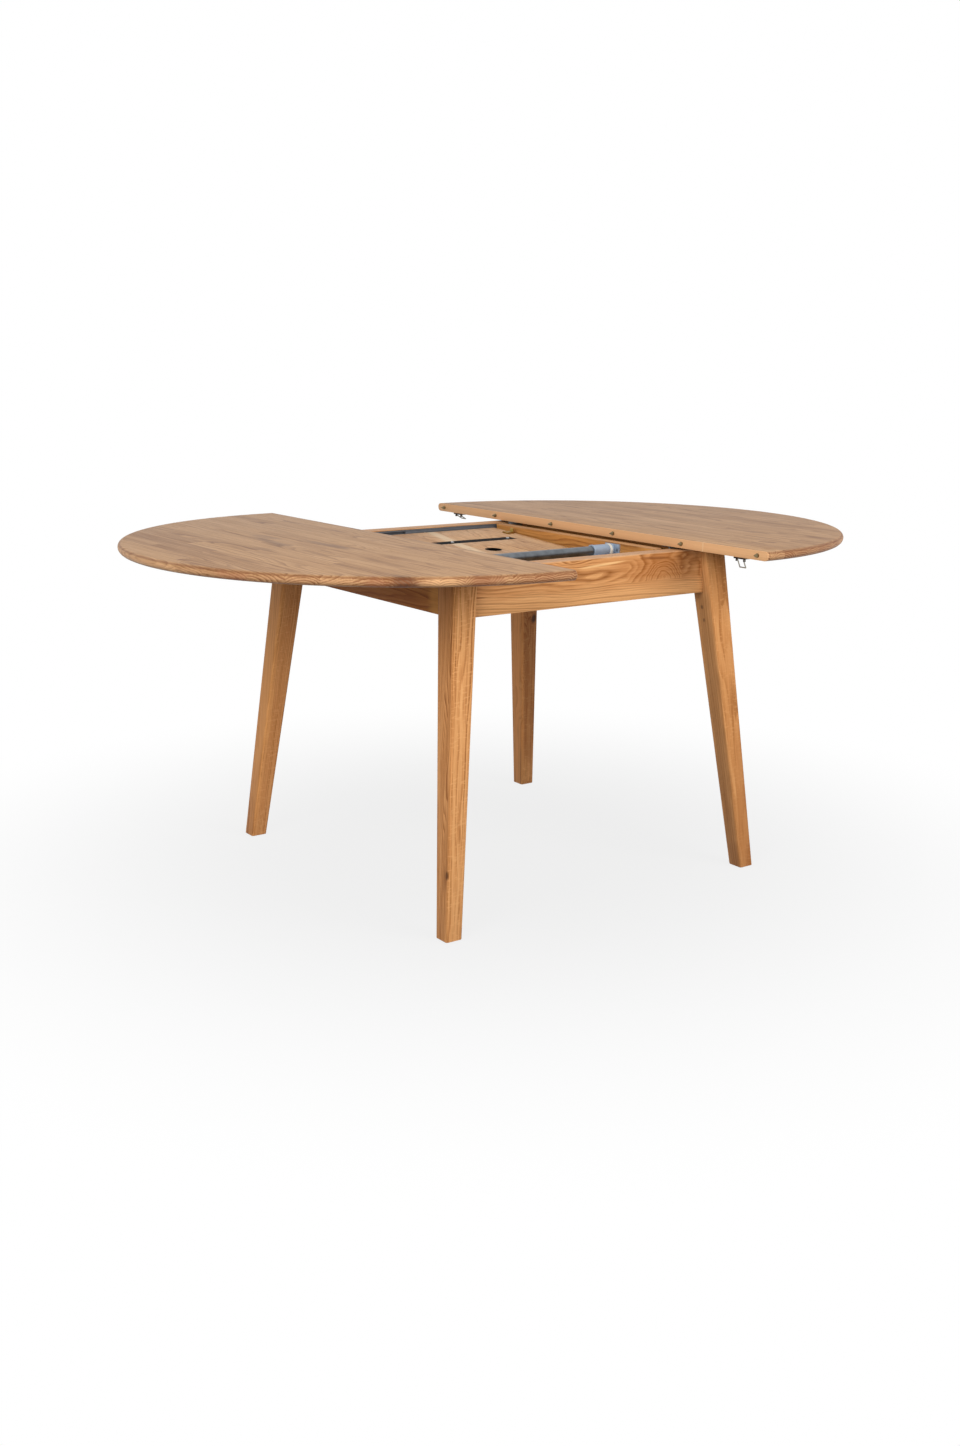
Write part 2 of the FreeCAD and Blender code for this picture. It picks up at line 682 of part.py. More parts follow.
def make_frame():
    """Legs, aprons, rails, channels, the pivot tube and the small parts of the frame."""
    legs = four_corners(leg_solid())
    plate, bolt, nut = corner_hardware()
    bolts = four_corners(bolt)
    for (end, side), leg in legs.items():
        save("leg_" + side + "_" + end, [leg.cut(bolts[(end, side)])])
    all_legs = list(legs.values())
    save("corner_brackets", four_corners(plate).values())
    save("leg_bolts", bolts.values())
    save("leg_nuts", four_corners(nut).values())
    foot_x = leg_x + splay_x - foot_size / 2
    foot_y = leg_y + splay_y - foot_size / 2
    foot_glide = rod(Vector(foot_x, foot_y, 0), upward, glide_radius, glide_height)
    save("foot_glides", four_corners(foot_glide).values())

    channel, cleat, channel_screws, channel_foot = guide_channel()
    save("guide_channel_far", [channel])
    save("guide_channel_near", [mirrored_y(channel)])
    save("slide_cleats", both_sides(cleat))
    save("channel_screws", [s for screw in channel_screws for s in both_sides(screw)])

    run_x = leg_x - leg_top_size / 2
    run_y = leg_y - leg_top_size / 2
    long_apron = box(-run_x, run_x, apron_inner_y, apron_face_y, apron_foot, frame_top)
    long_apron = less(long_apron, all_legs + list(bolts.values()))
    save("apron_far", [long_apron])
    save("apron_near", [mirrored_y(long_apron)])
    end_apron = box(apron_inner_x, apron_face_x, -run_y, run_y, apron_foot, frame_top)
    end_apron = less(end_apron, all_legs + list(bolts.values()))
    save("end_apron_right", [end_apron])
    save("end_apron_left", [end_apron.mirror(Vector(0, 0, 0), along_x)])
    glide_x = (apron_inner_x + apron_face_x) / 2
    top_glide = box(
        glide_x - top_glide_width / 2, glide_x + top_glide_width / 2,
        top_glide_y - top_glide_length / 2, top_glide_y + top_glide_length / 2,
        frame_top, underside - slide_gap,
    )
    save("top_glides", four_corners(top_glide).values())

    # Cross rails, notched at their upper corners for the channels, bars and brackets
    sockets = [socket(s) for s in (-1, 1)]
    socket_screws = [s for pair in sockets for s in pair[1]]
    notch = box(
        cross_rail_face, cross_rail_back, slide_room_y, apron_inner_y, channel_foot - notch_gap, frame_top
    )
    rail_foot = frame_top - cross_rail_height
    rail = box(cross_rail_face, cross_rail_back, -apron_inner_y, apron_inner_y, rail_foot, frame_top)
    rail = less(rail, both_sides(notch))
    save("cross_rail_right", [less(rail, socket_screws)])
    save("cross_rail_left", [less(rail.mirror(Vector(0, 0, 0), along_x), socket_screws)])

    # Pivot tube with its sockets and washers, and the stops above the leaf's short end
    tube_end = cross_rail_face - socket_end_wall
    tube = rod(Vector(-tube_end, pivot.y, pivot.z), along_x, tube_radius, 2 * tube_end)
    bore = rod(Vector(-tube_end, pivot.y, pivot.z), along_x, tube_radius - tube_wall, 2 * tube_end)
    save("pivot_tube", [tube.cut(bore)])
    save("pivot_sockets", [pair[0] for pair in sockets])
    save("socket_screws", socket_screws)
    save("pivot_washers", [washer(s) for s in (-1, 1)])
    save("leaf_stops", [leaf_stop(s) for s in (-1, 1)])


def saddle_end():
    """Distance from the middle to the outer end of a saddle."""
    return saddle_spacing / 2 + saddle_length / 2


def washer(side):
    """Nylon washer on the tube, beside a saddle."""
    start = Vector(side * (saddle_end() + slide_gap), pivot.y, pivot.z)
    ring = rod(start, along_x * side, washer_radius, washer_length)
    return ring.cut(rod(start, along_x * side, tube_radius, washer_length))


def socket(side):
    """Socket on a cross rail that holds one end of the tube, and its screws."""
    start = saddle_end() + slide_gap + washer_length
    out = along_x * side
    length = cross_rail_face - start
    at = Vector(side * start, pivot.y, pivot.z)
    neck = rod(at, out, socket_neck_radius, length)
    collar = rod(at, out, socket_collar_radius, socket_collar_length)
    flange_face = at + out * (length - socket_flange)
    wide = socket_flange_length / 2
    tall = socket_flange_height / 2
    flange = box(
        min(flange_face.x, side * cross_rail_face), max(flange_face.x, side * cross_rail_face),
        pivot.y - wide, pivot.y + wide, pivot.z - tall, pivot.z + tall,
    )
    bore = rod(at, out, tube_radius, length - socket_end_wall)
    screw_y = (socket_neck_radius + wide) / 2
    screws = [
        flush_screw(flange_face + along_y * (s * screw_y), out, screw_length + socket_flange)
        for s in (-1, 1)
    ]
    return less(joined([neck, collar, flange]), [bore] + screws), screws


def leaf_stop(side):
    """Wooden stop on a cross rail, just above the stored leaf's short end."""
    tilt = math.radians(stored_tilt)
    y0 = -slide_room_y
    y1 = y0 + stop_width
    face = pivot.z - pivot_drop / math.cos(tilt) + (y1 - pivot.y) * math.tan(tilt)
    z0 = face + slide_gap
    x0 = leaf_edge - stop_overlap
    block = box(x0, cross_rail_face, y0, y1, z0, z0 + stop_height)
    return block if side > 0 else block.mirror(Vector(0, 0, 0), along_x)


make_frame()
make_halves()
make_leaf()
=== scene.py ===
import json
import math

import bpy
from mathutils import Matrix, Vector

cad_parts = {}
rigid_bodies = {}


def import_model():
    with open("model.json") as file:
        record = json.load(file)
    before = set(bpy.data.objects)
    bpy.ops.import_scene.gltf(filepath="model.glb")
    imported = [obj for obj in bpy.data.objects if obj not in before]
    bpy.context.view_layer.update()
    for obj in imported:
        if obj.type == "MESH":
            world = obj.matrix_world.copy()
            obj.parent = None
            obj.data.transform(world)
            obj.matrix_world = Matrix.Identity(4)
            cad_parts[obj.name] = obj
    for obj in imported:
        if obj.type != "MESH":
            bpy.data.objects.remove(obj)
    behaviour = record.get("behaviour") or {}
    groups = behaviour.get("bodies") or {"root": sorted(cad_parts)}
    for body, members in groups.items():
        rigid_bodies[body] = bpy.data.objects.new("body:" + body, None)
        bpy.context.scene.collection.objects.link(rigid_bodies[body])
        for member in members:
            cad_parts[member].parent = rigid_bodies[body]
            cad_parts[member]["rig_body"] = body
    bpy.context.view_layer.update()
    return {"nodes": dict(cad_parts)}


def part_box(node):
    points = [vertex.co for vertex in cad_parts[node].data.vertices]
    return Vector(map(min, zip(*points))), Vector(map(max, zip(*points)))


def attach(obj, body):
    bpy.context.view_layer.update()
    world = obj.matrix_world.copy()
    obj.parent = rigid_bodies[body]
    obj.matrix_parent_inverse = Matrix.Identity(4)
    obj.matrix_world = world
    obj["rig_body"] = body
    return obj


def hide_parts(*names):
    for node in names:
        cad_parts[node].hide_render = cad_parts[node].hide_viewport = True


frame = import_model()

bl_info = {
    "name": "Round extension table",
    "version": (1, 0, 0),
    "blender": (4, 5, 0),
    "location": "3D View > Sidebar > Table",
    "description": "Oak table with sliding halves and a folding leaf, finished for a studio picture",
    "category": "Object",
}

MM = 0.001
NODES = frame["nodes"]
# Steps of the rim's section from its crest to a face, and round the half circle
RIM_STEPS = 6
RIM_TURNS = 180
# Room round a pin in its hole, and length of the tool that cuts the hole, half of it in the wood
PIN_CLEARANCE = 0.3 * MM
PIN_DRILL = 24 * MM
# Cross recess of a screw: half of its width, half of its length, and its depth
SLOT_HALF_WIDTH = 0.45 * MM
SLOT_HALF_LENGTH = 2.1 * MM
SLOT_DEPTH = 1.1 * MM
# Broken edges of small pieces
PIN_EASE = 0.2 * MM
PLATE_EASE = 0.3 * MM
GLIDE_EASE = 0.4 * MM
CUP_EASE = 0.5 * MM
# Length of a screw that is taken for its head
HEAD_LENGTH = 3 * MM
# Lengths under which points lie in one plane, on the same level of a leg, and are welded
TINY = 0.01 * MM
FLUSH = 0.1 * MM
WELD = 0.002 * MM
# Angles under which faces are merged, over which an edge is broken, and under which shading is smooth
FLAT_ANGLE = math.radians(0.3)
SHARP_ANGLE = math.radians(40)
SMOOTH_ANGLE = math.radians(32)
LEG_CORNER_STEPS = 5


class TableSizes(bpy.types.PropertyGroup):
    """Sizes of the finish, which the construction leaves open."""

    rim_set_in: bpy.props.FloatProperty(
        name="Rim set-in", description="How far the rounded rim draws in at its top and bottom",
        default=10 * MM, unit="LENGTH",
    )
    rim_crest: bpy.props.FloatProperty(
        name="Rim crest", description="Depth of the rim's fullest line below the top face",
        default=9.5 * MM, unit="LENGTH",
    )
    wood_ease: bpy.props.FloatProperty(
        name="Wood edges", description="Width of the sanded edges of rails and boards",
        default=1.2 * MM, unit="LENGTH",
    )
    top_ease: bpy.props.FloatProperty(
        name="Straight edges", description="Width of the sanded straight edges of the halves",
        default=0.8 * MM, unit="LENGTH",
    )
    edge_gap: bpy.props.FloatProperty(
        name="Edge gap", description="How far a straight edge stands back from the middle of the joint",
        default=0.15 * MM, unit="LENGTH",
    )
    leg_round: bpy.props.FloatProperty(
        name="Leg corners", description="Radius of the long corners of the legs",
        default=4.5 * MM, unit="LENGTH",
    )
    steel_ease: bpy.props.FloatProperty(
        name="Steel edges", description="Width of the broken edges of plates and bars",
        default=0.4 * MM, unit="LENGTH",
    )
    stave_width: bpy.props.FloatProperty(
        name="Stave width", description="Width of the glued oak staves", default=43 * MM, unit="LENGTH",
    )


class TableColours(bpy.types.PropertyGroup):
    """Colours of the finishes, as sRGB hex values."""

    oak_pale: bpy.props.StringProperty(
        name="Oak, pale", description="Late wood of the frame", default="DDA56C",
    )
    oak_mid: bpy.props.StringProperty(
        name="Oak, middle", description="Body of the frame's wood", default="C68A54",
    )
    oak_dark: bpy.props.StringProperty(
        name="Oak, dark", description="Early wood of the frame", default="88501F",
    )
    top_pale: bpy.props.StringProperty(
        name="Top, pale", description="Late wood of the top", default="CCA073",
    )
    top_mid: bpy.props.StringProperty(
        name="Top, middle", description="Body of the top's wood", default="AF845A",
    )
    top_dark: bpy.props.StringProperty(
        name="Top, dark", description="Early wood of the top", default="764C2A",
    )
    zinc: bpy.props.StringProperty(
        name="Zinc", description="Plated steel of the pivot", default="7C8186",
    )
    brass: bpy.props.StringProperty(
        name="Brass", description="Keepers and hinges", default="B0904C",
    )


class StudioView(bpy.types.PropertyGroup):
    """Where the camera stands."""

    azimuth: bpy.props.FloatProperty(
        name="Azimuth", description="Turn of the camera about the table, from behind -Y towards -X",
        default=math.radians(35.742), subtype="ANGLE",
    )
    elevation: bpy.props.FloatProperty(
        name="Elevation", description="Height of the camera above the horizon",
        default=math.radians(13.683), subtype="ANGLE",
    )
    roll: bpy.props.FloatProperty(
        name="Roll", description="Lean of the picture", default=math.radians(0.564), subtype="ANGLE",
    )
    distance: bpy.props.FloatProperty(
        name="Distance", description="From the camera to the point it looks at",
        default=3.52746, unit="LENGTH",
    )
    target: bpy.props.FloatVectorProperty(
        name="Target", description="Point that the camera looks at",
        default=(-0.0357, 0.0031, 0.3123), subtype="TRANSLATION",
    )
    lens: bpy.props.FloatProperty(
        name="Lens", description="Focal length in millimetres for a picture 36 mm tall", default=37.985,
    )


def sizes():
    return bpy.context.scene.table_sizes


def colours():
    return bpy.context.scene.table_colours


def linear(hex_colour):
    """Linear RGBA from an sRGB hex value."""
    channels = [int(hex_colour[n:n + 2], 16) / 255 for n in (0, 2, 4)]
    return [c / 12.92 if c <= 0.04045 else ((c + 0.055) / 1.055) ** 2.4 for c in channels] + [1.0]


def add(tree, kind, links=None, **settings):
    """Adds a node with its settings; each link is a socket to join or a value to set."""
    node = tree.nodes.new(kind)
    for key, value in settings.items():
        setattr(node, key, value)
    for key, value in (links or {}).items():
        if isinstance(value, bpy.types.NodeSocket):
            tree.links.new(value, node.inputs[key])
        else:
            node.inputs[key].default_value = value
    return node


def calc(tree, operation, *values, **settings):
    """Result of a math node on sockets and numbers."""
    return add(tree, "ShaderNodeMath", dict(enumerate(values)), operation=operation, **settings).outputs[0]


def calc_vector(tree, operation, *values):
    """Result of a vector math node on sockets and vectors."""
    return add(tree, "ShaderNodeVectorMath", dict(enumerate(values)), operation=operation).outputs[0]


def scaled(tree, vector, factor):
    """A vector times a number."""
    return add(tree, "ShaderNodeVectorMath", {0: vector, "Scale": factor}, operation="SCALE").outputs[0]


def length(tree, vector):
    """Length of a vector."""
    return add(tree, "ShaderNodeVectorMath", {0: vector}, operation="LENGTH").outputs["Value"]


def graded(tree, value, start=0.0, end=1.0, low=0.0, high=1.0, smooth=False):
    """Low where a value is at start, high where it is at end, and held beyond."""
    return add(
        tree, "ShaderNodeMapRange",
        {"Value": value, "From Min": start, "From Max": end, "To Min": low, "To Max": high},
        interpolation_type="SMOOTHSTEP" if smooth else "LINEAR",
    ).outputs[0]


def mixed(tree, amount, one, other):
    """One colour tinted with another."""
    return add(tree, "ShaderNodeMix", {0: amount, 6: one, 7: other}, data_type="RGBA").outputs[2]


def noise(tree, vector, scale=1.0, detail=2.0):
    """Smooth noise, with cells per metre as its scale."""
    return add(tree, "ShaderNodeTexNoise", {"Vector": vector, "Scale": scale, "Detail": detail})


def new_material(name):
    """A new material: its node tree and its shader."""
    material = bpy.data.materials.new(name)
    material.use_nodes = True
    return material, material.node_tree, material.node_tree.nodes["Principled BSDF"]


def set_ramp(node, stops):
    """Sets a colour ramp's stops, as places and linear colours."""
    ramp = node.color_ramp
    while len(ramp.elements) < len(stops):
        ramp.elements.new(0.5)
    for element, (place, colour) in zip(ramp.elements, stops):
        element.position = place
        element.color = colour


# Cells of noise per metre across, along and into the grain
WANDER_CELLS = (14.0, 3.2, 14.0)
EDGE_CELLS = (60.0, 12.0, 60.0)
RIPPLE_CELLS = (130.0, 7.0, 130.0)
STREAK_CELLS = (330.0, 5.0, 330.0)
CLOUD_CELLS = (22.0, 2.4, 22.0)
PORE_CELLS = (800.0, 40.0, 800.0)
RAY_CELLS = (70.0, 260.0, 70.0)
RAY_TURN = 0.5
# Noise cells between the figure of one stave and another, and metres between the wood of one leg and another
STAVE_JUMP = 40.0
LEG_JUMP_ACROSS = 0.731
LEG_JUMP_ALONG = 5.0
# How far the edge of a knot or a tint strays, as a share of its size, and how far a ring ripples
KNOT_RAGGED = 0.12
MARK_RAGGED = 0.5
RIPPLE = 2.4 * MM
# Share of a tint's size that has its full strength
MARK_CORE = 0.3
# Strength of the weakest ring, and how much clearer rings are on end grain
WEAK_RING = 0.3
END_RING_GAIN = 1.2
# Levels of noise where a pore or a ray starts and where it is full, and the pores' share in late wood
PORE_EDGE = (0.5, 0.7)
RAY_EDGE = (0.56, 0.66)
LATE_PORES = 0.25
# Place of the middle shade between pale and dark, and how far the parts of the figure move it
MIDDLE_TONE = 0.45
RING_TONE = 0.62
RING_MEAN = 0.13
STREAK_TONE = 0.9
CLOUD_TONE = 0.6
STAVE_TONE = 0.28
PORE_TINT = 0.55
PORE_COLOUR = "6A3F1C"
# How square a face stands to the grain where oil starts to soak in and where it is full
END_FACING = (0.35, 0.9)
END_GRAIN_COLOUR = "7A4422"
# Depth of the pores, and of the rings as a share of it
RELIEF_DEPTH = 0.25 * MM
RING_RELIEF = 0.5
# Cells per metre of the patches on metal and of the haze on plastic, and size of the orange-peel
PATCH_CELLS = 60.0
HAZE_CELLS = 45.0
PEEL = 1.2 * MM


def oak(
    name, order, shades, stave, core, pitch=4.0, run=0.7, seed=1.0, pith=(0.04, 0.012, 0.05), slope=0.03,
    swing=0.012, contrast=1.0, soft=0.0, lean=None, knots=(), marks=(), flecks=0.0, coat=0.3,
):
    """Oiled solid oak, glued from staves: growth rings about a pith beside each stave, pores along the grain.

    order gives the object's axes as across, along and depth of the grain, and core the depth of the board's
    middle. A stave is stave wide and run long, in metres, and its rings are pitch apart, in millimetres.
    Knots push the rings aside, each a centre, a spread and a push, and marks tint the wood, all of them
    inside ellipsoids. The pores of real oak are 0.3 mm wide, too fine for the picture, so they are drawn
    about 1 mm wide and 20 mm long.
    """
    material, tree, shader = new_material(name)
    coordinates = add(tree, "ShaderNodeTexCoord")
    where = coordinates.outputs["Object"]
    axes = add(tree, "ShaderNodeSeparateXYZ", {"Vector": where})
    across, along, depth = [axes.outputs[axis.upper()] for axis in order]
    facing = add(tree, "ShaderNodeSeparateXYZ", {"Vector": coordinates.outputs["Normal"]})
    end_on = calc(tree, "ABSOLUTE", facing.outputs[order[1].upper()])
    depth_size = calc(tree, "ABSOLUTE", depth)
    if lean:
        # The grain of a splayed leg follows the leg, and each corner has wood of its own
        across_side, depth_side = [calc(tree, "SIGN", axis) for axis in (across, depth)]
        across_size = calc(tree, "MULTIPLY_ADD", along, lean[0], calc(tree, "ABSOLUTE", across))
        depth_size = calc(tree, "MULTIPLY_ADD", along, lean[1], depth_size)
        across = calc(tree, "MULTIPLY_ADD", across_side, LEG_JUMP_ACROSS, across_size)
        along = calc(tree, "MULTIPLY_ADD", depth_side, LEG_JUMP_ALONG, along)
    depth = calc(tree, "SUBTRACT", depth_size, core)
    grain = add(tree, "ShaderNodeCombineXYZ", {0: across, 1: along, 2: depth}).outputs[0]

    # Each stave and each length in it has its own chance numbers
    place = calc(tree, "DIVIDE", across, stave)
    row = calc(tree, "FLOOR", place)
    within = calc(tree, "FRACT", place)
    stagger = add(tree, "ShaderNodeTexWhiteNoise", {"W": row}, noise_dimensions="1D")
    piece = calc(tree, "FLOOR", calc(tree, "MULTIPLY_ADD", along, 1 / run, stagger.outputs["Value"]))
    cell = add(tree, "ShaderNodeCombineXYZ", {0: row, 1: piece, 2: seed})
    chance = add(tree, "ShaderNodeTexWhiteNoise", {"Vector": cell.outputs[0]}, noise_dimensions="3D")
    chances, luck = chance.outputs["Color"], chance.outputs["Value"]
    jump = scaled(tree, chances, STAVE_JUMP)

    def figure(cells, detail=2.0, apart=True):
        """Noise stretched along the grain; apart gives each stave its own."""
        at = calc_vector(tree, "MULTIPLY_ADD", grain, cells, jump if apart else (0, 0, 0))
        return noise(tree, at, detail=detail)

    def about_zero(vector, reach):
        """Chance numbers from -reach to reach, across and into the grain."""
        return calc_vector(tree, "MULTIPLY_ADD", vector, (2 * reach, 0, 2 * reach), (-reach, 0, -reach))

    # Distance from the stave's pith, which leans and wanders along the grain
    local = calc(tree, "MULTIPLY_ADD", within, stave, -stave / 2)
    from_pith = add(tree, "ShaderNodeCombineXYZ", {0: local, 2: depth}).outputs[0]
    away = calc_vector(tree, "MULTIPLY_ADD", chances, (2 * pith[0], 0, pith[2]), (-pith[0], 0, pith[1]))
    climb = scaled(tree, about_zero(chances, slope), along)
    drift = about_zero(figure(WANDER_CELLS).outputs["Color"], swing)
    for part in (away, climb, drift):
        from_pith = calc_vector(tree, "ADD", from_pith, part)
    radius = length(tree, from_pith)

    def within_ellipsoid(centre, spread, turn, ragged):
        """Distance from an ellipsoid's middle, 1 on its skin, with a ragged edge."""
        near = add(
            tree, "ShaderNodeMapping",
            {"Vector": where, "Location": centre, "Rotation": turn, "Scale": spread},
            vector_type="TEXTURE",
        )
        edge = calc(tree, "MULTIPLY_ADD", figure(EDGE_CELLS, apart=False).outputs[0], 2 * ragged, -ragged)
        return calc(tree, "ADD", length(tree, near.outputs[0]), edge)

    for centre, spread, push in knots:
        hill = graded(tree, within_ellipsoid(centre, spread, (0, 0, 0), KNOT_RAGGED), 1.0, 0.0, high=push)
        if not lean:
            # A knot ends at the glue line
            home = math.floor(centre["xyz".index(order[0])] / stave)
            hill = calc(tree, "MULTIPLY", hill, calc(tree, "COMPARE", row, home, 0.5))
        radius = calc(tree, "ADD", radius, hill)

    # Rings: open early wood, dark at the ring's start, then dense pale late wood
    wavy = calc(tree, "MULTIPLY_ADD", figure(RIPPLE_CELLS, apart=False).outputs[0], RIPPLE, radius)
    phase = calc(tree, "DIVIDE", wavy, pitch * MM)
    year = calc(tree, "FLOOR", phase)
    growth = add(tree, "ShaderNodeTexWhiteNoise", {"W": year}, noise_dimensions="1D")
    band = add(tree, "ShaderNodeValToRGB", {"Fac": calc(tree, "FRACT", phase)})
    profile = ((0, 0.3), (0.1 + soft, 1), (0.38 + soft, 0.5), (0.7 + soft, 0.08), (1, 0))
    set_ramp(band, [(at, (level, level, level, 1)) for at, level in profile])
    strength = graded(tree, growth.outputs["Value"], low=WEAK_RING)
    rings = calc(tree, "MULTIPLY", band.outputs["Color"], strength)
    clearer = calc(tree, "MULTIPLY_ADD", end_on, END_RING_GAIN, 1.0)
    hatch = calc(tree, "MULTIPLY", rings, clearer)
    streaks = figure(STREAK_CELLS, detail=4.0).outputs[0]
    clouds = figure(CLOUD_CELLS, detail=3.0).outputs[0]
    pores = graded(tree, figure(PORE_CELLS, apart=False).outputs[0], *PORE_EDGE, smooth=True)
    open_pores = calc(tree, "MULTIPLY", pores, graded(tree, rings, low=LATE_PORES))

    # Colour: the middle shade, pushed by rings, streaks, clouds and the stave's chance, less their means
    tone = MIDDLE_TONE - RING_MEAN * contrast - (STREAK_TONE + CLOUD_TONE + STAVE_TONE) / 2
    for amount, value in (
        (RING_TONE * contrast, hatch), (STREAK_TONE, streaks), (CLOUD_TONE, clouds), (STAVE_TONE, luck),
    ):
        tone = calc(tree, "MULTIPLY_ADD", value, amount, tone)
    wood = add(tree, "ShaderNodeValToRGB", {"Fac": tone})
    pale, middle, dark = [linear(c) for c in shades]
    set_ramp(wood, [(0.0, pale), (MIDDLE_TONE, middle), (1.0, dark)])
    colour = wood.outputs["Color"]
    if flecks:
        # Pale rays across the grain, on the faces cut through the pith
        at = add(
            tree, "ShaderNodeMapping", {"Vector": grain, "Rotation": (0, 0, RAY_TURN), "Scale": RAY_CELLS}
        )
        rays = noise(tree, at.outputs[0], detail=1.0).outputs[0]
        face_on = calc(tree, "ABSOLUTE", facing.outputs[order[2].upper()])
        shown = calc(tree, "MULTIPLY", graded(tree, rays, *RAY_EDGE, high=flecks), face_on)
        colour = mixed(tree, shown, colour, pale)
    colour = mixed(tree, calc(tree, "MULTIPLY", open_pores, PORE_TINT), colour, linear(PORE_COLOUR))
    for centre, spread, turn, shade, most in marks:
        apart = within_ellipsoid(centre, spread, turn, MARK_RAGGED)
        amount = graded(tree, apart, 1.0, MARK_CORE, high=most, smooth=True)
        colour = mixed(tree, amount, colour, linear(shade))

    # End grain drinks more oil, so it is darker, most in the open early wood
    end = graded(tree, end_on, *END_FACING, high=graded(tree, luck, low=0.2, high=0.8))
    drunk = graded(tree, rings, low=0.2, high=1.7)
    colour = mixed(tree, calc(tree, "MULTIPLY", end, drunk), colour, linear(END_GRAIN_COLOUR))
    tree.links.new(colour, shader.inputs["Base Color"])
    tree.links.new(graded(tree, streaks, low=0.4, high=0.62), shader.inputs["Roughness"])
    shader.inputs["Specular IOR Level"].default_value = coat
    relief = calc(tree, "MULTIPLY_ADD", rings, RING_RELIEF, open_pores)
    depths = {"Height": relief, "Strength": 0.2, "Distance": RELIEF_DEPTH}
    bump = add(tree, "ShaderNodeBump", depths, invert=True)
    tree.links.new(bump.outputs[0], shader.inputs["Normal"])
    return material


def roughen(tree, shader, marks, roughness, spread, strength):
    """Gloss that varies with fine marks, and the marks as a slight relief."""
    gloss = graded(tree, marks, low=roughness - spread, high=roughness + spread)
    tree.links.new(gloss, shader.inputs["Roughness"])
    bump = add(tree, "ShaderNodeBump", {"Height": marks, "Strength": strength, "Distance": 0.1 * MM})
    tree.links.new(bump.outputs[0], shader.inputs["Normal"])


def metal(name, hex_colour, roughness, grit=2.0, stretch=(1, 1, 1), mottle=0.15, wear="3C3E42", metallic=1.0):
    """Bare or plated metal: a little mottling in colour and gloss, and fine marks the way it was drawn.

    grit is the size of the marks in millimetres, and stretch draws them out along an axis.
    """
    material, tree, shader = new_material(name)
    where = add(tree, "ShaderNodeTexCoord").outputs["Object"]
    drawn = calc_vector(tree, "MULTIPLY", where, [1 / (grit * MM * s) for s in stretch])
    marks = noise(tree, drawn, detail=4.0).outputs[0]
    patches = noise(tree, where, PATCH_CELLS, detail=3.0).outputs[0]
    worn = graded(tree, patches, start=0.35, end=0.75, high=mottle)
    tree.links.new(mixed(tree, worn, linear(hex_colour), linear(wear)), shader.inputs["Base Color"])
    roughen(tree, shader, marks, roughness, spread=0.12, strength=0.12)
    shader.inputs["Metallic"].default_value = metallic
    return material


def moulded(name, hex_colour, roughness, dust="6A6660", shine=0.5):
    """Moulded plastic or baked paint: even colour with a fine orange-peel and a trace of dust."""
    material, tree, shader = new_material(name)
    where = add(tree, "ShaderNodeTexCoord").outputs["Object"]
    peel = noise(tree, where, 1 / PEEL).outputs[0]
    haze = noise(tree, where, HAZE_CELLS, detail=4.0).outputs[0]
    dusty = graded(tree, haze, start=0.45, end=0.8, high=0.12)
    tree.links.new(mixed(tree, dusty, linear(hex_colour), linear(dust)), shader.inputs["Base Color"])
    shader.inputs["Specular IOR Level"].default_value = shine
    roughen(tree, shader, peel, roughness, spread=0.06, strength=0.15)
    return material


FINISHES = {}


def finish(name):
    """The material of that name, made when it is first asked for."""
    if name not in FINISHES:
        FINISHES[name] = RECIPES[name]()
    return FINISHES[name]


def frame_shades():
    return colours().oak_pale, colours().oak_mid, colours().oak_dark


def top_shades():
    return colours().top_pale, colours().top_mid, colours().top_dark


def mark(centre, spread, shade, most, turn=(0, 0, 0)):
    """A tint inside an ellipsoid: middle and half sizes in metres, colour, strength, turn in radians."""
    return centre, spread, turn, shade, most


def top_oak():
    """Top boards: staves along Y, with smoky streaks and knots in the left half."""
    smoke, painted_light_edge = "6A4A35", "E9B583"
    face, rim, middle = 0.755, 0.743, 0.745
    marks = [
        mark((-0.455, -0.03, face), (0.022, 0.14, 0.03), smoke, 0.55, (0, 0, 0.05)),
        mark((-0.53, 0.07, face), (0.02, 0.11, 0.03), smoke, 0.5, (0, 0, -0.06)),
        mark((-0.50, 0.15, face), (0.03, 0.07, 0.03), smoke, 0.35, (0, 0, 0.1)),
        mark((-0.60, -0.02, face), (0.018, 0.05, 0.03), smoke, 0.3),
        # End grain of the near rim: heartwood and sapwood staves
        mark((-0.61, -0.48, rim), (0.026, 0.06, 0.016), "82482C", 0.55),
        mark((-0.571, -0.51, rim), (0.032, 0.09, 0.017), "3E2012", 0.9),
        mark((-0.51, -0.545, rim), (0.05, 0.06, 0.016), "EBBC88", 0.7),
        mark((-0.435, -0.57, rim), (0.05, 0.05, 0.016), "7A4428", 0.6),
        mark((-0.32, -0.6, rim), (0.08, 0.04, 0.014), "8A5638", 0.3),
        mark((-0.79, -0.26, rim), (0.03, 0.06, 0.014), "8A4E30", 0.5),
        # The rim is darker along its upper arris, painted shade darkens its lower side, and a painted
        # highlight makes its crest pale
        mark((0, 0, 0.752), (9, 9, 0.0024), "74442A", 0.5),
        mark((0, 0, 0.7365), (9, 9, 0.0045), "5E3520", 0.4),
        mark((0, 0, 0.7455), (9, 9, 0.0045), "E8B288", 0.2),
        # Painted light: the straight edges made lighter than the faces
        mark((0.25, 0, middle), (0.004, 6, 0.5), painted_light_edge, 0.8),
        mark((-0.25, 0, middle), (0.0012, 6, 0.5), painted_light_edge, 0.8),
        # Pale glue line across the right half's straight edge
        mark((0.25, -0.409, middle), (0.012, 0.0016, 0.05), "E9C79B", 0.8),
    ]
    knots = [
        ((-0.47, 0.12, face), (0.03, 0.16, 0.03), 0.012),
        ((-0.40, -0.03, face), (0.03, 0.12, 0.03), 0.014),
    ]
    return oak(
        "oiled_oak_top", "xyz", top_shades(), sizes().stave_width, middle, pitch=4.6, seed=3.0, contrast=0.75,
        knots=knots, marks=marks, coat=0.3,
    )


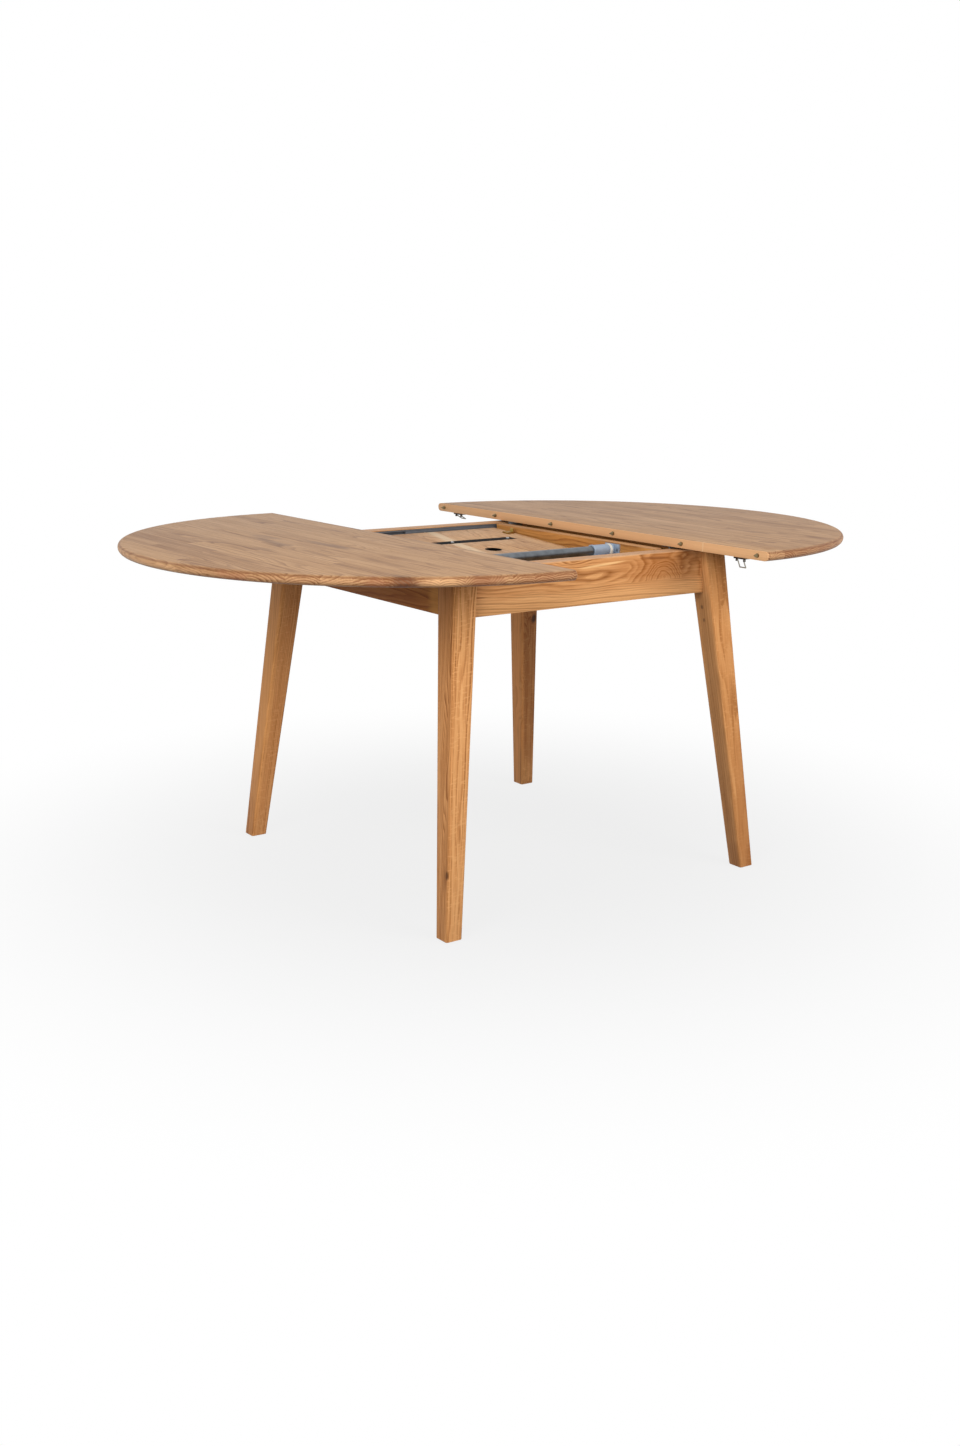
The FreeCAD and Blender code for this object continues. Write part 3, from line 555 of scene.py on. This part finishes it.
def leaf_oak():
    """Leaf panels, paler than the top as painted light against their shade, with a stripe of pale sapwood."""
    marks = [mark((-0.011, 0.15, 0.7142), (0.02, 0.45, 0.013), "EBD2AE", 0.6, (0.061, 0, -0.17))]
    return oak(
        "oiled_oak_leaf", "xyz", ("E0B486", "C6976A", "875A35"), sizes().stave_width, 0.7, pitch=3.6,
        seed=11.0, contrast=0.8, marks=marks, coat=0.25,
    )


def painted_sheen_edge(node):
    """Mark for the upper edge of a rail: a painted sheen, paler than its sides."""
    return mark((0, 0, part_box(node)[1].z), (9, 9, 2.6 * MM), "D2A880", 0.45)


RAIL_STAVE = 0.0611
LEG_STAVE = 0.0277


def rail_oak():
    """Aprons on the long sides: two staves, with swirls in the upper one."""
    face = -0.348
    knots = [
        ((0.19, face, 0.69), (0.1, 0.3, 0.056), 0.02),
        ((0.199, face, 0.679), (0.052, 0.3, 0.036), 0.024),
        ((0.29, face, 0.69), (0.045, 0.3, 0.05), 0.015),
        ((-0.056, face, 0.726), (0.055, 0.3, 0.012), 0.01),
    ]
    marks = [
        mark((0.19, face, 0.695), (0.16, 0.1, 0.06), "9A561E", 0.5),
        mark((0, face, 0.648), (3.0, 0.1, 0.034), "F2BC80", 0.3),
        # Painted sheen along the upper edge
        painted_sheen_edge("apron_near"),
        mark((0.016, face, 0.7155), (0.085, 0.1, 0.003), "F0C58A", 0.6, (0, -0.065, 0)),
        mark((0.175, face, 0.72), (0.06, 0.1, 0.004), "6E3A14", 0.6, (0, 0.06, 0)),
    ]
    return oak(
        "oiled_oak_apron", "zxy", frame_shades(), RAIL_STAVE, 0.337, pitch=4.4, run=30.0, seed=5.0,
        pith=(0.075, 0.02, 0.03), slope=0.05, soft=0.12, knots=knots, marks=marks, contrast=1.3, coat=0.3,
    )


def end_oak():
    """Aprons and rails across, darker with painted shade, with a paler length beside the near left leg."""
    face = -0.346
    marks = [
        # Painted shade: the left end apron darkened, as in the shadow of the top
        mark((face, 0, 0.69), (0.03, 0.6, 0.3), "8A4408", 0.55),
        # Painted sheen along the upper edge
        painted_sheen_edge("cross_rail_left"),
        mark((face, -0.275, 0.68), (0.05, 0.04, 0.14), "D09450", 0.6),
    ]
    # Painted shade in the shades, for the end apron under the top
    return oak(
        "oiled_oak_end", "zyx", ("D09452", "B0773F", "74441E"), RAIL_STAVE, 0.335, pitch=4.4, run=30.0,
        seed=7.0, pith=(0.06, 0.02, 0.03), slope=0.05, marks=marks, contrast=1.2, coat=0.1,
    )


def leg_oak():
    """Legs: straight grain along the splayed leg, with small knots."""
    top, foot = leg_section("leg_far_right", 1), leg_section("leg_far_right", -1)
    fall = top[0].z - foot[0].z
    middle = (top[0] + top[1]) / 2
    lean = [(foot[0][n] + foot[1][n] - 2 * middle[n]) / 2 / fall for n in (0, 1)]
    knot = "33190A"
    marks = [
        mark((-0.4152, -0.4165, 0.137), (0.006, 0.006, 0.013), knot, 0.9),
        mark((-0.4145, -0.412, 0.125), (0.01, 0.01, 0.05), "7A4A24", 0.5),
        mark((0.32, -0.342, 0.6), (0.006, 0.006, 0.007), knot, 0.75),
        mark((0.3235, -0.3475, 0.571), (0.005, 0.005, 0.006), knot, 0.65),
        mark((0.41, -0.425, 0.12), (0.05, 0.05, 0.42), "8A4C1C", 0.5),
        # The near right leg: even front, and painted shade greying its inner side
        mark((0.3577, -0.3848, 0.5), (0.04, 0.012, 0.9), "BE8048", 0.5, (-0.0993, -0.101, 0)),
        mark((0.3433, -0.37, 0.4), (0.012, 0.03, 1.2), "7A5838", 0.4, (-0.1126, -0.114, 0)),
        # The far left leg is redder, with a pale outer side
        mark((-0.373, 0.3758, 0.35), (0.08, 0.08, 0.9), "B0622C", 0.25, (0.1126, 0.101, 0)),
        mark((-0.3835, 0.35, 0.5), (0.016, 0.08, 0.7), "E2A262", 0.5, (0.1, 0.0886, 0)),
        # The far right leg: painted shade darkens its side towards -Y and painted light brightens its side
        # towards -X
        mark((0.368, 0.3456, 0.4), (0.04, 0.014, 0.6), "743A10", 0.55, (0.127, -0.102, 0)),
        mark((0.3432, 0.372, 0.4), (0.014, 0.04, 0.6), "F2A462", 0.6, (0.113, -0.115, 0)),
        mark((0.374, 0.337, 0.47), (0.009, 0.01, 0.016), knot, 0.9),
    ]
    knots = [
        ((-0.383, -0.36, 0.5), (0.04, 0.018, 0.16), 0.014),
        ((-0.4, -0.385, 0.28), (0.04, 0.016, 0.12), 0.012),
        ((0.358, 0.34, 0.42), (0.016, 0.04, 0.1), 0.016),
        ((0.366, 0.36, 0.25), (0.016, 0.04, 0.08), 0.014),
    ]
    return oak(
        "oiled_oak_leg", "xzy", frame_shades(), LEG_STAVE, middle.y + lean[1] * middle.z, pitch=3.6, run=60.0,
        seed=2.0, pith=(0.05, 0.02, 0.05), slope=0.02, swing=0.008, contrast=1.1, lean=lean, knots=knots,
        marks=marks, flecks=0.45, coat=0.2,
    )


RECIPES = {
    "oak_top": top_oak,
    "oak_leaf": leaf_oak,
    "oak_rail": rail_oak,
    "oak_end": end_oak,
    "oak_leg": leg_oak,
    # Drawn steel tube, handled: grey with dark scuffs along it
    "tube": lambda: metal("drawn_steel_tube", colours().zinc, 0.4, grit=1.5, stretch=(14, 1, 1), mottle=0.5),
    # Pressed steel with a dull bluish zinc coat
    "saddle": lambda: metal("dull_zinc_saddle", "9DADC0", 0.5, mottle=0.1, metallic=0.4),
    # Cold-drawn bar and channel with a dull grey coat
    "channel": lambda: metal(
        "coated_steel_channel", "60646A", 0.5, grit=1.5, stretch=(20, 1, 1), mottle=0.25, metallic=0.4
    ),
    "bar": lambda: metal(
        "coated_steel_bar", "666A70", 0.5, grit=1.5, stretch=(20, 1, 1), mottle=0.2, metallic=0.4
    ),
    # Painted shade: near black on the channels' upper faces, as in the shadow under the halves
    "painted_shade_top": lambda: moulded("dark_grease", "1B1917", 0.5, dust="3A342C", shine=0.2),
    # Zinc-plated plate: pale grey, with a soft sheen
    "plate": lambda: metal("zinc_plated_plate", "9A9DA1", 0.4, mottle=0.3),
    # Bright zinc: small white glints on the screw heads
    "screw": lambda: metal("bright_zinc_screw", "D2D3D5", 0.3, grit=0.8, mottle=0.15),
    # Wire and pressed clip, browned
    "wire": lambda: metal("browned_steel_wire", "A29A8C", 0.35, grit=0.8, mottle=0.3),
    "clip": lambda: metal("browned_steel_plate", "3A2E28", 0.45, mottle=0.3, wear="1E1410", metallic=0.6),
    # Bronzed pins: brown, with a paler glint on the cone
    "pin": lambda: metal("bronzed_steel_pin", "8C7C5C", 0.3, grit=0.6, mottle=0.3, wear="2A1C10"),
    # Brushed brass, a little worn: warm yellow glints
    "brass": lambda: metal("brushed_brass", colours().brass, 0.32, grit=0.8, mottle=0.3, wear="6B5220"),
    # Baked paint on the braces: flat black strips without shine
    "black": lambda: moulded("black_baked_paint", "060606", 0.7, dust="141210", shine=0.06),
    # Moulded plastic: a black hole in the leaf
    "cup": lambda: moulded("black_moulded_plastic", "050505", 0.7, dust="121010", shine=0.05),
    # Undyed nylon: milky white rings and pads
    "nylon": lambda: moulded("natural_nylon", "D6CFC2", 0.5, dust="B0AA9A"),
}


def object_mode():
    """Ends edit mode."""
    bpy.ops.object.mode_set(mode="OBJECT")


def deselect():
    """Back to object mode with nothing selected."""
    if bpy.context.object and bpy.context.object.mode != "OBJECT":
        object_mode()
    bpy.ops.object.select_all(action="DESELECT")


def work_on(piece):
    """Makes a piece the only one selected."""
    deselect()
    piece.select_set(True)
    bpy.context.view_layer.objects.active = piece


def pick(piece, kind, test=None):
    """Edit mode on a piece, with the vertices, edges or faces selected that pass a test, or all of them."""
    work_on(piece)
    bpy.ops.object.mode_set(mode="EDIT")
    bpy.ops.mesh.select_mode(type={"vertices": "VERT", "edges": "EDGE", "polygons": "FACE"}[kind])
    bpy.ops.mesh.select_all(action="DESELECT")
    object_mode()
    chosen = [part for part in getattr(piece.data, kind) if not test or test(part)]
    if not chosen:
        raise RuntimeError("nothing was picked on " + piece.name)
    for part in chosen:
        part.select = True
    bpy.ops.object.mode_set(mode="EDIT")


def ends(piece, edge):
    """The two ends of an edge."""
    return [piece.data.vertices[n].co for n in edge.vertices]


def rise(piece, edge):
    """How much higher one end of an edge is than the other."""
    one, other = ends(piece, edge)
    return abs(one.z - other.z)


def corners(points):
    """Lowest and highest corners of the box round some points."""
    return [Vector([most(p[n] for p in points) for n in range(3)]) for most in (min, max)]


def settle(piece, name, material, *nodes):
    """Finishes a piece: place in its mesh, smooth curves, its material, and the nodes that it stands for."""
    work_on(piece)
    bpy.ops.object.transform_apply(location=True, rotation=True, scale=True)
    bpy.ops.object.shade_smooth_by_angle(angle=SMOOTH_ANGLE)
    piece.name = name
    piece.data.name = name
    piece.data.materials.clear()
    piece.data.materials.append(finish(material))
    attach(piece, NODES[nodes[0]]["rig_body"])
    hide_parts(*nodes)
    deselect()
    return piece


def block(low, high):
    """A block between two corners, with its place in its mesh."""
    deselect()
    size = Vector(high) - Vector(low)
    bpy.ops.mesh.primitive_cube_add(size=1, location=(Vector(low) + Vector(high)) / 2)
    piece = bpy.context.object
    piece.scale = size
    bpy.ops.object.transform_apply(location=True, scale=True)
    return piece


def ease(piece, width, test=None, segments=2):
    """Rounds the edges that pass a test, or all of them."""
    pick(piece, "edges", test)
    bpy.ops.mesh.bevel(offset=width, segments=segments, affect="EDGES")
    object_mode()


def cut(piece, cutters):
    """Takes shapes out of a piece; they may cross each other."""
    cutter = join(cutters)
    work_on(piece)
    taken = piece.modifiers.new("cut", "BOOLEAN")
    taken.use_self = True
    taken.operation = "DIFFERENCE"
    taken.solver = "EXACT"
    taken.object = cutter
    bpy.ops.object.modifier_apply(modifier=taken.name)
    bpy.data.objects.remove(cutter)


def join(pieces):
    """Several meshes as one object."""
    deselect()
    for piece in pieces:
        piece.select_set(True)
    bpy.context.view_layer.objects.active = pieces[0]
    bpy.ops.object.join()
    return pieces[0]


def islands(node):
    """Lowest and highest corners of each separate solid of a CAD node, in order of place."""
    mesh = NODES[node].data
    parent = {}

    def root(key):
        while parent[key] != key:
            parent[key] = parent[parent[key]]
            key = parent[key]
        return key

    keys = [tuple(round(c, 6) for c in v.co) for v in mesh.vertices]
    for key in keys:
        parent.setdefault(key, key)
    for face in mesh.polygons:
        first = root(keys[face.vertices[0]])
        for n in face.vertices[1:]:
            parent[root(keys[n])] = first
    groups = {}
    for key in set(keys):
        groups.setdefault(root(key), []).append(key)
    boxes = [corners(group) for group in groups.values()]
    return sorted(boxes, key=lambda box: tuple(round(c, 4) for c in box[0]))


def eased_copy(node, material, width):
    """A CAD node with its edges broken, for a piece whose shape is already right."""
    piece = bpy.data.objects.new(node + "_finished", NODES[node].data.copy())
    bpy.context.scene.collection.objects.link(piece)
    work_on(piece)
    if piece.data.has_custom_normals:
        bpy.ops.mesh.customdata_custom_splitnormals_clear()
    bpy.ops.object.mode_set(mode="EDIT")
    bpy.ops.mesh.select_all(action="SELECT")
    bpy.ops.mesh.remove_doubles(threshold=WELD)
    bpy.ops.mesh.dissolve_limited(angle_limit=FLAT_ANGLE)
    object_mode()
    if width:
        broken = piece.modifiers.new("broken edges", "BEVEL")
        broken.width = width
        broken.segments = 2
        broken.limit_method = "ANGLE"
        broken.angle_limit = SHARP_ANGLE
        bpy.ops.object.modifier_apply(modifier=broken.name)
    return settle(piece, node + "_finished", material, node)


def leg_section(node, end):
    """Lowest and highest corners of a leg's top (end 1) or foot (end -1)."""
    low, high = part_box(node)
    level = high.z if end > 0 else low.z
    return corners([v.co for v in NODES[node].data.vertices if abs(v.co.z - level) < FLUSH])


def half_round_board(node, side):
    """Half of the top: the rim's section, spun half a turn and closed."""
    low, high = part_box(node)
    edge = low.x if side > 0 else high.x
    radius = (high.y - low.y) / 2
    crest = high.z - sizes().rim_crest
    set_in = sizes().rim_set_in
    section = []
    for n in range(2 * RIM_STEPS + 1):
        angle = math.pi / 2 * (n / RIM_STEPS - 1)
        rise = high.z - crest if angle > 0 else crest - low.z
        out = set_in * math.cos(angle)
        section.append(Vector((edge, -radius + set_in - out, crest + rise * math.sin(angle))))
    deselect()
    bpy.ops.mesh.primitive_plane_add(size=MM, location=section[0])
    piece = bpy.context.object
    bpy.ops.object.transform_apply(location=True)
    bpy.ops.object.mode_set(mode="EDIT")
    bpy.ops.mesh.select_mode(type="VERT")
    bpy.ops.mesh.select_all(action="SELECT")
    bpy.ops.mesh.merge(type="CENTER")
    for here, there in zip(section, section[1:]):
        bpy.ops.mesh.extrude_region_move(TRANSFORM_OT_translate={"value": there - here})
    bpy.ops.mesh.select_all(action="SELECT")
    bpy.ops.mesh.spin(steps=RIM_TURNS, angle=-side * math.pi, center=(edge, 0, 0), axis=(0, 0, 1))
    object_mode()
    reach = max((v.co.x - edge) * side for v in piece.data.vertices)
    if reach < radius / 2:
        raise RuntimeError("the rim was spun the wrong way")
    for test in (
        lambda v: abs(v.co.z - high.z) < TINY,
        lambda v: abs(v.co.z - low.z) < TINY,
        lambda v: abs(v.co.x - edge) < TINY,
    ):
        pick(piece, "vertices", test)
        bpy.ops.mesh.edge_face_add()
        object_mode()
    pick(piece, "polygons")
    bpy.ops.mesh.normals_make_consistent(inside=False)
    object_mode()
    # The straight edge stands back a little, so the closed halves meet without pressing into each other
    pick(piece, "vertices", lambda v: abs(v.co.x - edge) < TINY)
    bpy.ops.transform.translate(value=(side * sizes().edge_gap, 0, 0))
    object_mode()
    edge += side * sizes().edge_gap
    ease(piece, sizes().top_ease, lambda e: all(abs(c.x - edge) < TINY for c in ends(piece, e)))
    return piece


class TABLE_OT_top_halves(bpy.types.Operator):
    """Makes the two halves of the top, with pin holes in the left one and recesses for the braces"""

    bl_idname = "table.top_halves"
    bl_label = "Top halves"

    def execute(self, context):
        for name, side in (("left", -1), ("right", 1)):
            node = "top_half_" + name
            board = half_round_board(node, side)
            cutters = []
            for low, high in islands("brace_channels_" + name):
                cutters.append(block(low - Vector((0, 0, MM)), high))
            if side < 0:
                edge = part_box(node)[1].x
                for low, high in islands("alignment_pins"):
                    deselect()
                    middle = (low + high) / 2
                    radius = (high.z - low.z) / 2 + PIN_CLEARANCE
                    bpy.ops.mesh.primitive_cylinder_add(
                        vertices=32, radius=radius, depth=PIN_DRILL, location=(edge, middle.y, middle.z),
                        rotation=(0, math.pi / 2, 0),
                    )
                    bpy.ops.object.transform_apply(location=True, rotation=True)
                    cutters.append(bpy.context.object)
            cut(board, cutters)
            settle(board, node + "_board", "oak_top", node)
        return {"FINISHED"}


class TABLE_OT_leaf(bpy.types.Operator):
    """Makes the two panels of the folding leaf and the hardware let into them"""

    bl_idname = "table.leaf"
    bl_label = "Folding leaf"

    def execute(self, context):
        for name in ("swing", "flap"):
            eased_copy("leaf_panel_" + name, "oak_leaf", sizes().top_ease)
            eased_copy("leaf_brace_" + name, "black", 0.0)
            eased_copy("leaf_keeper_" + name, "brass", PLATE_EASE)
            eased_copy("leaf_pins_" + name, "pin", PIN_EASE)
            eased_copy("leaf_hinge_plates_" + name, "brass", 0.0)
        eased_copy("leaf_hinge_pins", "brass", 0.0)
        eased_copy("finger_cup", "cup", CUP_EASE)
        return {"FINISHED"}


class TABLE_OT_legs(bpy.types.Operator):
    """Makes the four splayed and tapered legs"""

    bl_idname = "table.legs"
    bl_label = "Legs"

    def execute(self, context):
        for side in ("near", "far"):
            for end in ("left", "right"):
                node = "leg_" + side + "_" + end
                top, foot = leg_section(node, 1), leg_section(node, -1)
                level = foot[0].z
                leg = block((top[0].x, top[0].y, level), top[1])
                pick(leg, "vertices", lambda v: abs(v.co.z - level) < MM)
                middle = (top[0] + top[1]) / 2
                middle.z = level
                ratio = (foot[1].x - foot[0].x) / (top[1].x - top[0].x)
                bpy.ops.transform.resize(value=(ratio, ratio, 1), center_override=middle)
                bpy.ops.transform.translate(value=(foot[0] + foot[1]) / 2 - middle)
                object_mode()
                ease(leg, sizes().leg_round, lambda e: rise(leg, e) > MM, LEG_CORNER_STEPS)
                ease(leg, sizes().wood_ease, lambda e: rise(leg, e) < MM)
                settle(leg, node + "_turned", "oak_leg", node)
        return {"FINISHED"}


def leg_plane(node, axis):
    """A point on a leg's inner side and the normal, towards the leg."""
    top, foot = leg_section(node, 1), leg_section(node, -1)
    pick_end = min if (top[0] + top[1])[axis] > 0 else max
    at_top, at_foot = [pick_end(section, key=lambda c: c[axis]) for section in (top, foot)]
    normal = Vector((0, 0, 0))
    normal[axis] = 1
    normal.z = (at_foot[axis] - at_top[axis]) / (at_top.z - at_foot.z)
    if at_top[axis] < 0:
        normal = -normal
    return at_top, normal


class TABLE_OT_rails(bpy.types.Operator):
    """Makes the aprons between the legs, the cross rails and the leaf's stops"""

    bl_idname = "table.rails"
    bl_label = "Aprons and rails"

    def execute(self, context):
        rails = [
            ("apron_near", 0, ("leg_near_left", "leg_near_right"), "oak_rail"),
            ("apron_far", 0, ("leg_far_left", "leg_far_right"), "oak_rail"),
            ("end_apron_left", 1, ("leg_near_left", "leg_far_left"), "oak_end"),
            ("end_apron_right", 1, ("leg_near_right", "leg_far_right"), "oak_end"),
        ]
        for node, axis, legs, material in rails:
            rail = block(*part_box(node))
            ease(rail, sizes().wood_ease)
            for leg in legs:
                point, normal = leg_plane(leg, axis)
                pick(rail, "polygons")
                bpy.ops.mesh.bisect(plane_co=point, plane_no=normal, use_fill=True, clear_outer=True)
                object_mode()
            settle(rail, node + "_board", material, node)
        for side in ("left", "right"):
            eased_copy("cross_rail_" + side, "oak_end", sizes().wood_ease)
        eased_copy("leaf_stops", "oak_end", sizes().wood_ease)
        eased_copy("slide_cleats", "oak_rail", sizes().wood_ease)
        return {"FINISHED"}


class TABLE_OT_slides(bpy.types.Operator):
    """Makes the guide channels, the bars that run in them and their brackets"""

    bl_idname = "table.slides"
    bl_label = "Slides"

    def execute(self, context):
        for side in ("near", "far"):
            channel = eased_copy("guide_channel_" + side, "channel", sizes().steel_ease)
            # Painted shade on the channel's upper faces
            channel.data.materials.append(finish("painted_shade_top"))
            top = max(v.co.z for v in channel.data.vertices)
            for face in channel.data.polygons:
                if face.normal.z > 0.5 and face.center.z > top - MM:
                    face.material_index = 1
        for side in ("left", "right"):
            eased_copy("slide_bars_" + side, "bar", sizes().steel_ease)
            eased_copy("slide_brackets_" + side, "plate", sizes().steel_ease)
            eased_copy("brace_channels_" + side, "black", 0.0)
        eased_copy("alignment_pins", "pin", PIN_EASE)
        eased_copy("corner_brackets", "plate", sizes().steel_ease)
        return {"FINISHED"}


class TABLE_OT_pivot(bpy.types.Operator):
    """Makes the pivot tube with its saddles, washers and sockets"""

    bl_idname = "table.pivot"
    bl_label = "Pivot"

    def execute(self, context):
        eased_copy("pivot_tube", "tube", 0.0)
        eased_copy("leaf_saddles", "saddle", sizes().steel_ease)
        eased_copy("pivot_sockets", "saddle", sizes().steel_ease)
        eased_copy("pivot_washers", "nylon", PLATE_EASE)
        return {"FINISHED"}


class TABLE_OT_clips(bpy.types.Operator):
    """Makes the wire clips, their plates and the keepers under the left half"""

    bl_idname = "table.clips"
    bl_label = "Clips"

    def execute(self, context):
        eased_copy("clip_plates", "clip", PLATE_EASE)
        eased_copy("clip_keepers_left", "brass", PLATE_EASE)
        for side in ("near", "far"):
            eased_copy("clip_bail_" + side, "wire", 0.0)
        return {"FINISHED"}


def screw_slots(node):
    """Cutters for the cross recesses in the heads of a node's screws."""
    blades = []
    points = [v.co for v in NODES[node].data.vertices]
    for low, high in islands(node):
        middle = (low + high) / 2
        size = high - low
        axis = max(range(3), key=lambda n: size[n])

        def breadth(end):
            near = [p for p in points if all(low[n] - MM < p[n] < high[n] + MM for n in range(3))]
            near = [p for p in near if abs(p[axis] - end) < HEAD_LENGTH]
            return max((p[n] - middle[n]) ** 2 for p in near for n in range(3) if n != axis)

        middle[axis] = max((low[axis], high[axis]), key=breadth)
        for wide in range(3):
            if wide != axis:
                half = Vector([SLOT_HALF_WIDTH] * 3)
                half[wide] = SLOT_HALF_LENGTH
                half[axis] = SLOT_DEPTH
                blades.append(block(middle - half, middle + half))
    return blades


class TABLE_OT_fasteners(bpy.types.Operator):
    """Finishes the screws, with cross recesses in their heads, and the bolts, nuts and glides"""

    bl_idname = "table.fasteners"
    bl_label = "Fasteners and glides"

    def execute(self, context):
        screws = [node for node in NODES if "screws" in node]
        for node in screws:
            cut(eased_copy(node, "screw", 0.0), screw_slots(node))
        for node in ("leg_bolts", "leg_nuts"):
            eased_copy(node, "screw", 0.0)
        for node in ("foot_glides", "top_glides"):
            eased_copy(node, "nylon", GLIDE_EASE)
        return {"FINISHED"}


FLOOR_RADIUS = 30
FLOOR_DROP = 0.5 * MM
# Metres from the table over which the floor fades to white, and the white in it under the table
FLOOR_FADE = (0.3, 1.6)
FLOOR_WHITE = 0.82
# Strength of the surroundings as light on the table
FILL_LIGHT = 0.36
# Name, place and watts of each soft lamp
LAMPS = (
    ("key", (-3.3, -2.0, 2.1), 118.0),
    ("front", (1.2, -3.8, 2.1), 112.0),
    ("back", (0.4, 2.6, 3.0), 8.0),
)
LAMP_SIZE = 2.4
LAMP_TARGET = (0, 0, 0.6)
PICTURE_HEIGHT = 36


def seen_directly(tree):
    """1 where the camera sees a surface, straight or in a reflection or through glass, else 0."""
    ray = add(tree, "ShaderNodeLightPath")
    total = ray.outputs["Is Camera Ray"]
    for way in ("Is Glossy Ray", "Is Transmission Ray"):
        total = calc(tree, "ADD", total, ray.outputs[way], use_clamp=True)
    return total


class TABLE_OT_stage(bpy.types.Operator):
    """Sets up the pale floor, the soft studio light and the camera"""

    bl_idname = "table.stage"
    bl_label = "Stage"

    def execute(self, context):
        scene = context.scene
        scene.view_settings.view_transform = "Standard"
        self.floor()
        self.lights(scene)
        self.camera(scene)
        return {"FINISHED"}

    def floor(self):
        """A wide pale floor that fades to white away from the table."""
        deselect()
        bpy.ops.mesh.primitive_circle_add(
            vertices=64, radius=FLOOR_RADIUS, fill_type="NGON", location=(0, 0, -FLOOR_DROP)
        )
        floor = bpy.context.object
        floor.name = "studio_floor"
        material, tree, shader = new_material("pale_studio_floor")
        shader.inputs["Base Color"].default_value = linear("909090")
        shader.inputs["Roughness"].default_value = 0.9
        shader.inputs["Specular IOR Level"].default_value = 0.0
        where = add(tree, "ShaderNodeTexCoord").outputs["Object"]
        fade = graded(tree, length(tree, where), *FLOOR_FADE, low=FLOOR_WHITE, smooth=True)
        seen = calc(tree, "MULTIPLY", fade, seen_directly(tree))
        white = add(tree, "ShaderNodeEmission", {"Color": (1, 1, 1, 1), "Strength": 1.0})
        both = add(tree, "ShaderNodeMixShader", {0: seen, 1: shader.outputs[0], 2: white.outputs[0]})
        tree.links.new(both.outputs[0], tree.nodes["Material Output"].inputs["Surface"])
        floor.data.materials.append(material)

    def lights(self, scene):
        """Even white surroundings with a large soft key from the left and front."""
        world = bpy.data.worlds.new("studio")
        scene.world = world
        world.use_nodes = True
        tree = world.node_tree
        background = tree.nodes["Background"]
        strength = graded(tree, seen_directly(tree), low=FILL_LIGHT)
        tree.links.new(strength, background.inputs["Strength"])
        background.inputs["Color"].default_value = (1, 1, 1, 1)
        for name, place, watts in LAMPS:
            aim = Vector(LAMP_TARGET) - Vector(place)
            bpy.ops.object.light_add(
                type="AREA", location=place, rotation=aim.to_track_quat("-Z", "Y").to_euler()
            )
            lamp = bpy.context.object
            lamp.name = "studio_" + name
            lamp.data.size = LAMP_SIZE
            lamp.data.energy = watts
            # The lamps light the wood without a glare on the top
            lamp.visible_glossy = False

    def camera(self, scene):
        """Camera at the picture's place, with its small roll."""
        view = scene.studio_view
        level = math.cos(view.elevation)
        back = Vector((
            -math.sin(view.azimuth) * level, -math.cos(view.azimuth) * level, math.sin(view.elevation)
        ))
        turn = (-back).to_track_quat("-Z", "Y").to_matrix() @ Matrix.Rotation(view.roll, 3, "Z")
        place = Vector(view.target) + back * view.distance
        bpy.ops.object.camera_add(location=place, rotation=turn.to_euler())
        camera = bpy.context.object
        camera.name = "studio_camera"
        camera.data.sensor_fit = "VERTICAL"
        camera.data.sensor_height = PICTURE_HEIGHT
        camera.data.lens = view.lens
        scene.camera = camera


class TABLE_PT_panel(bpy.types.Panel):
    """Lists the steps that make the table"""

    bl_label = "Round extension table"
    bl_idname = "TABLE_PT_panel"
    bl_space_type = "VIEW_3D"
    bl_region_type = "UI"
    bl_category = "Table"

    def draw(self, context):
        for group in GROUPS:
            values = getattr(context.scene, group)
            for key in values.bl_rna.properties.keys():
                if key not in ("rna_type", "name"):
                    self.layout.prop(values, key)
        for step in STEPS:
            self.layout.operator(step.bl_idname)


STEPS = (
    TABLE_OT_stage,
    TABLE_OT_top_halves,
    TABLE_OT_leaf,
    TABLE_OT_legs,
    TABLE_OT_rails,
    TABLE_OT_slides,
    TABLE_OT_pivot,
    TABLE_OT_clips,
    TABLE_OT_fasteners,
)
GROUPS = {"table_sizes": TableSizes, "table_colours": TableColours, "studio_view": StudioView}
CLASSES = (*GROUPS.values(), *STEPS, TABLE_PT_panel)


def register():
    for item in CLASSES:
        bpy.utils.register_class(item)
    for name, group in GROUPS.items():
        setattr(bpy.types.Scene, name, bpy.props.PointerProperty(type=group))


def unregister():
    for name in GROUPS:
        delattr(bpy.types.Scene, name)
    for item in reversed(CLASSES):
        bpy.utils.unregister_class(item)


def main():
    register()
    for step in STEPS:
        group, name = step.bl_idname.split(".")
        getattr(getattr(bpy.ops, group), name)()


if __name__ == "__main__":
    main()
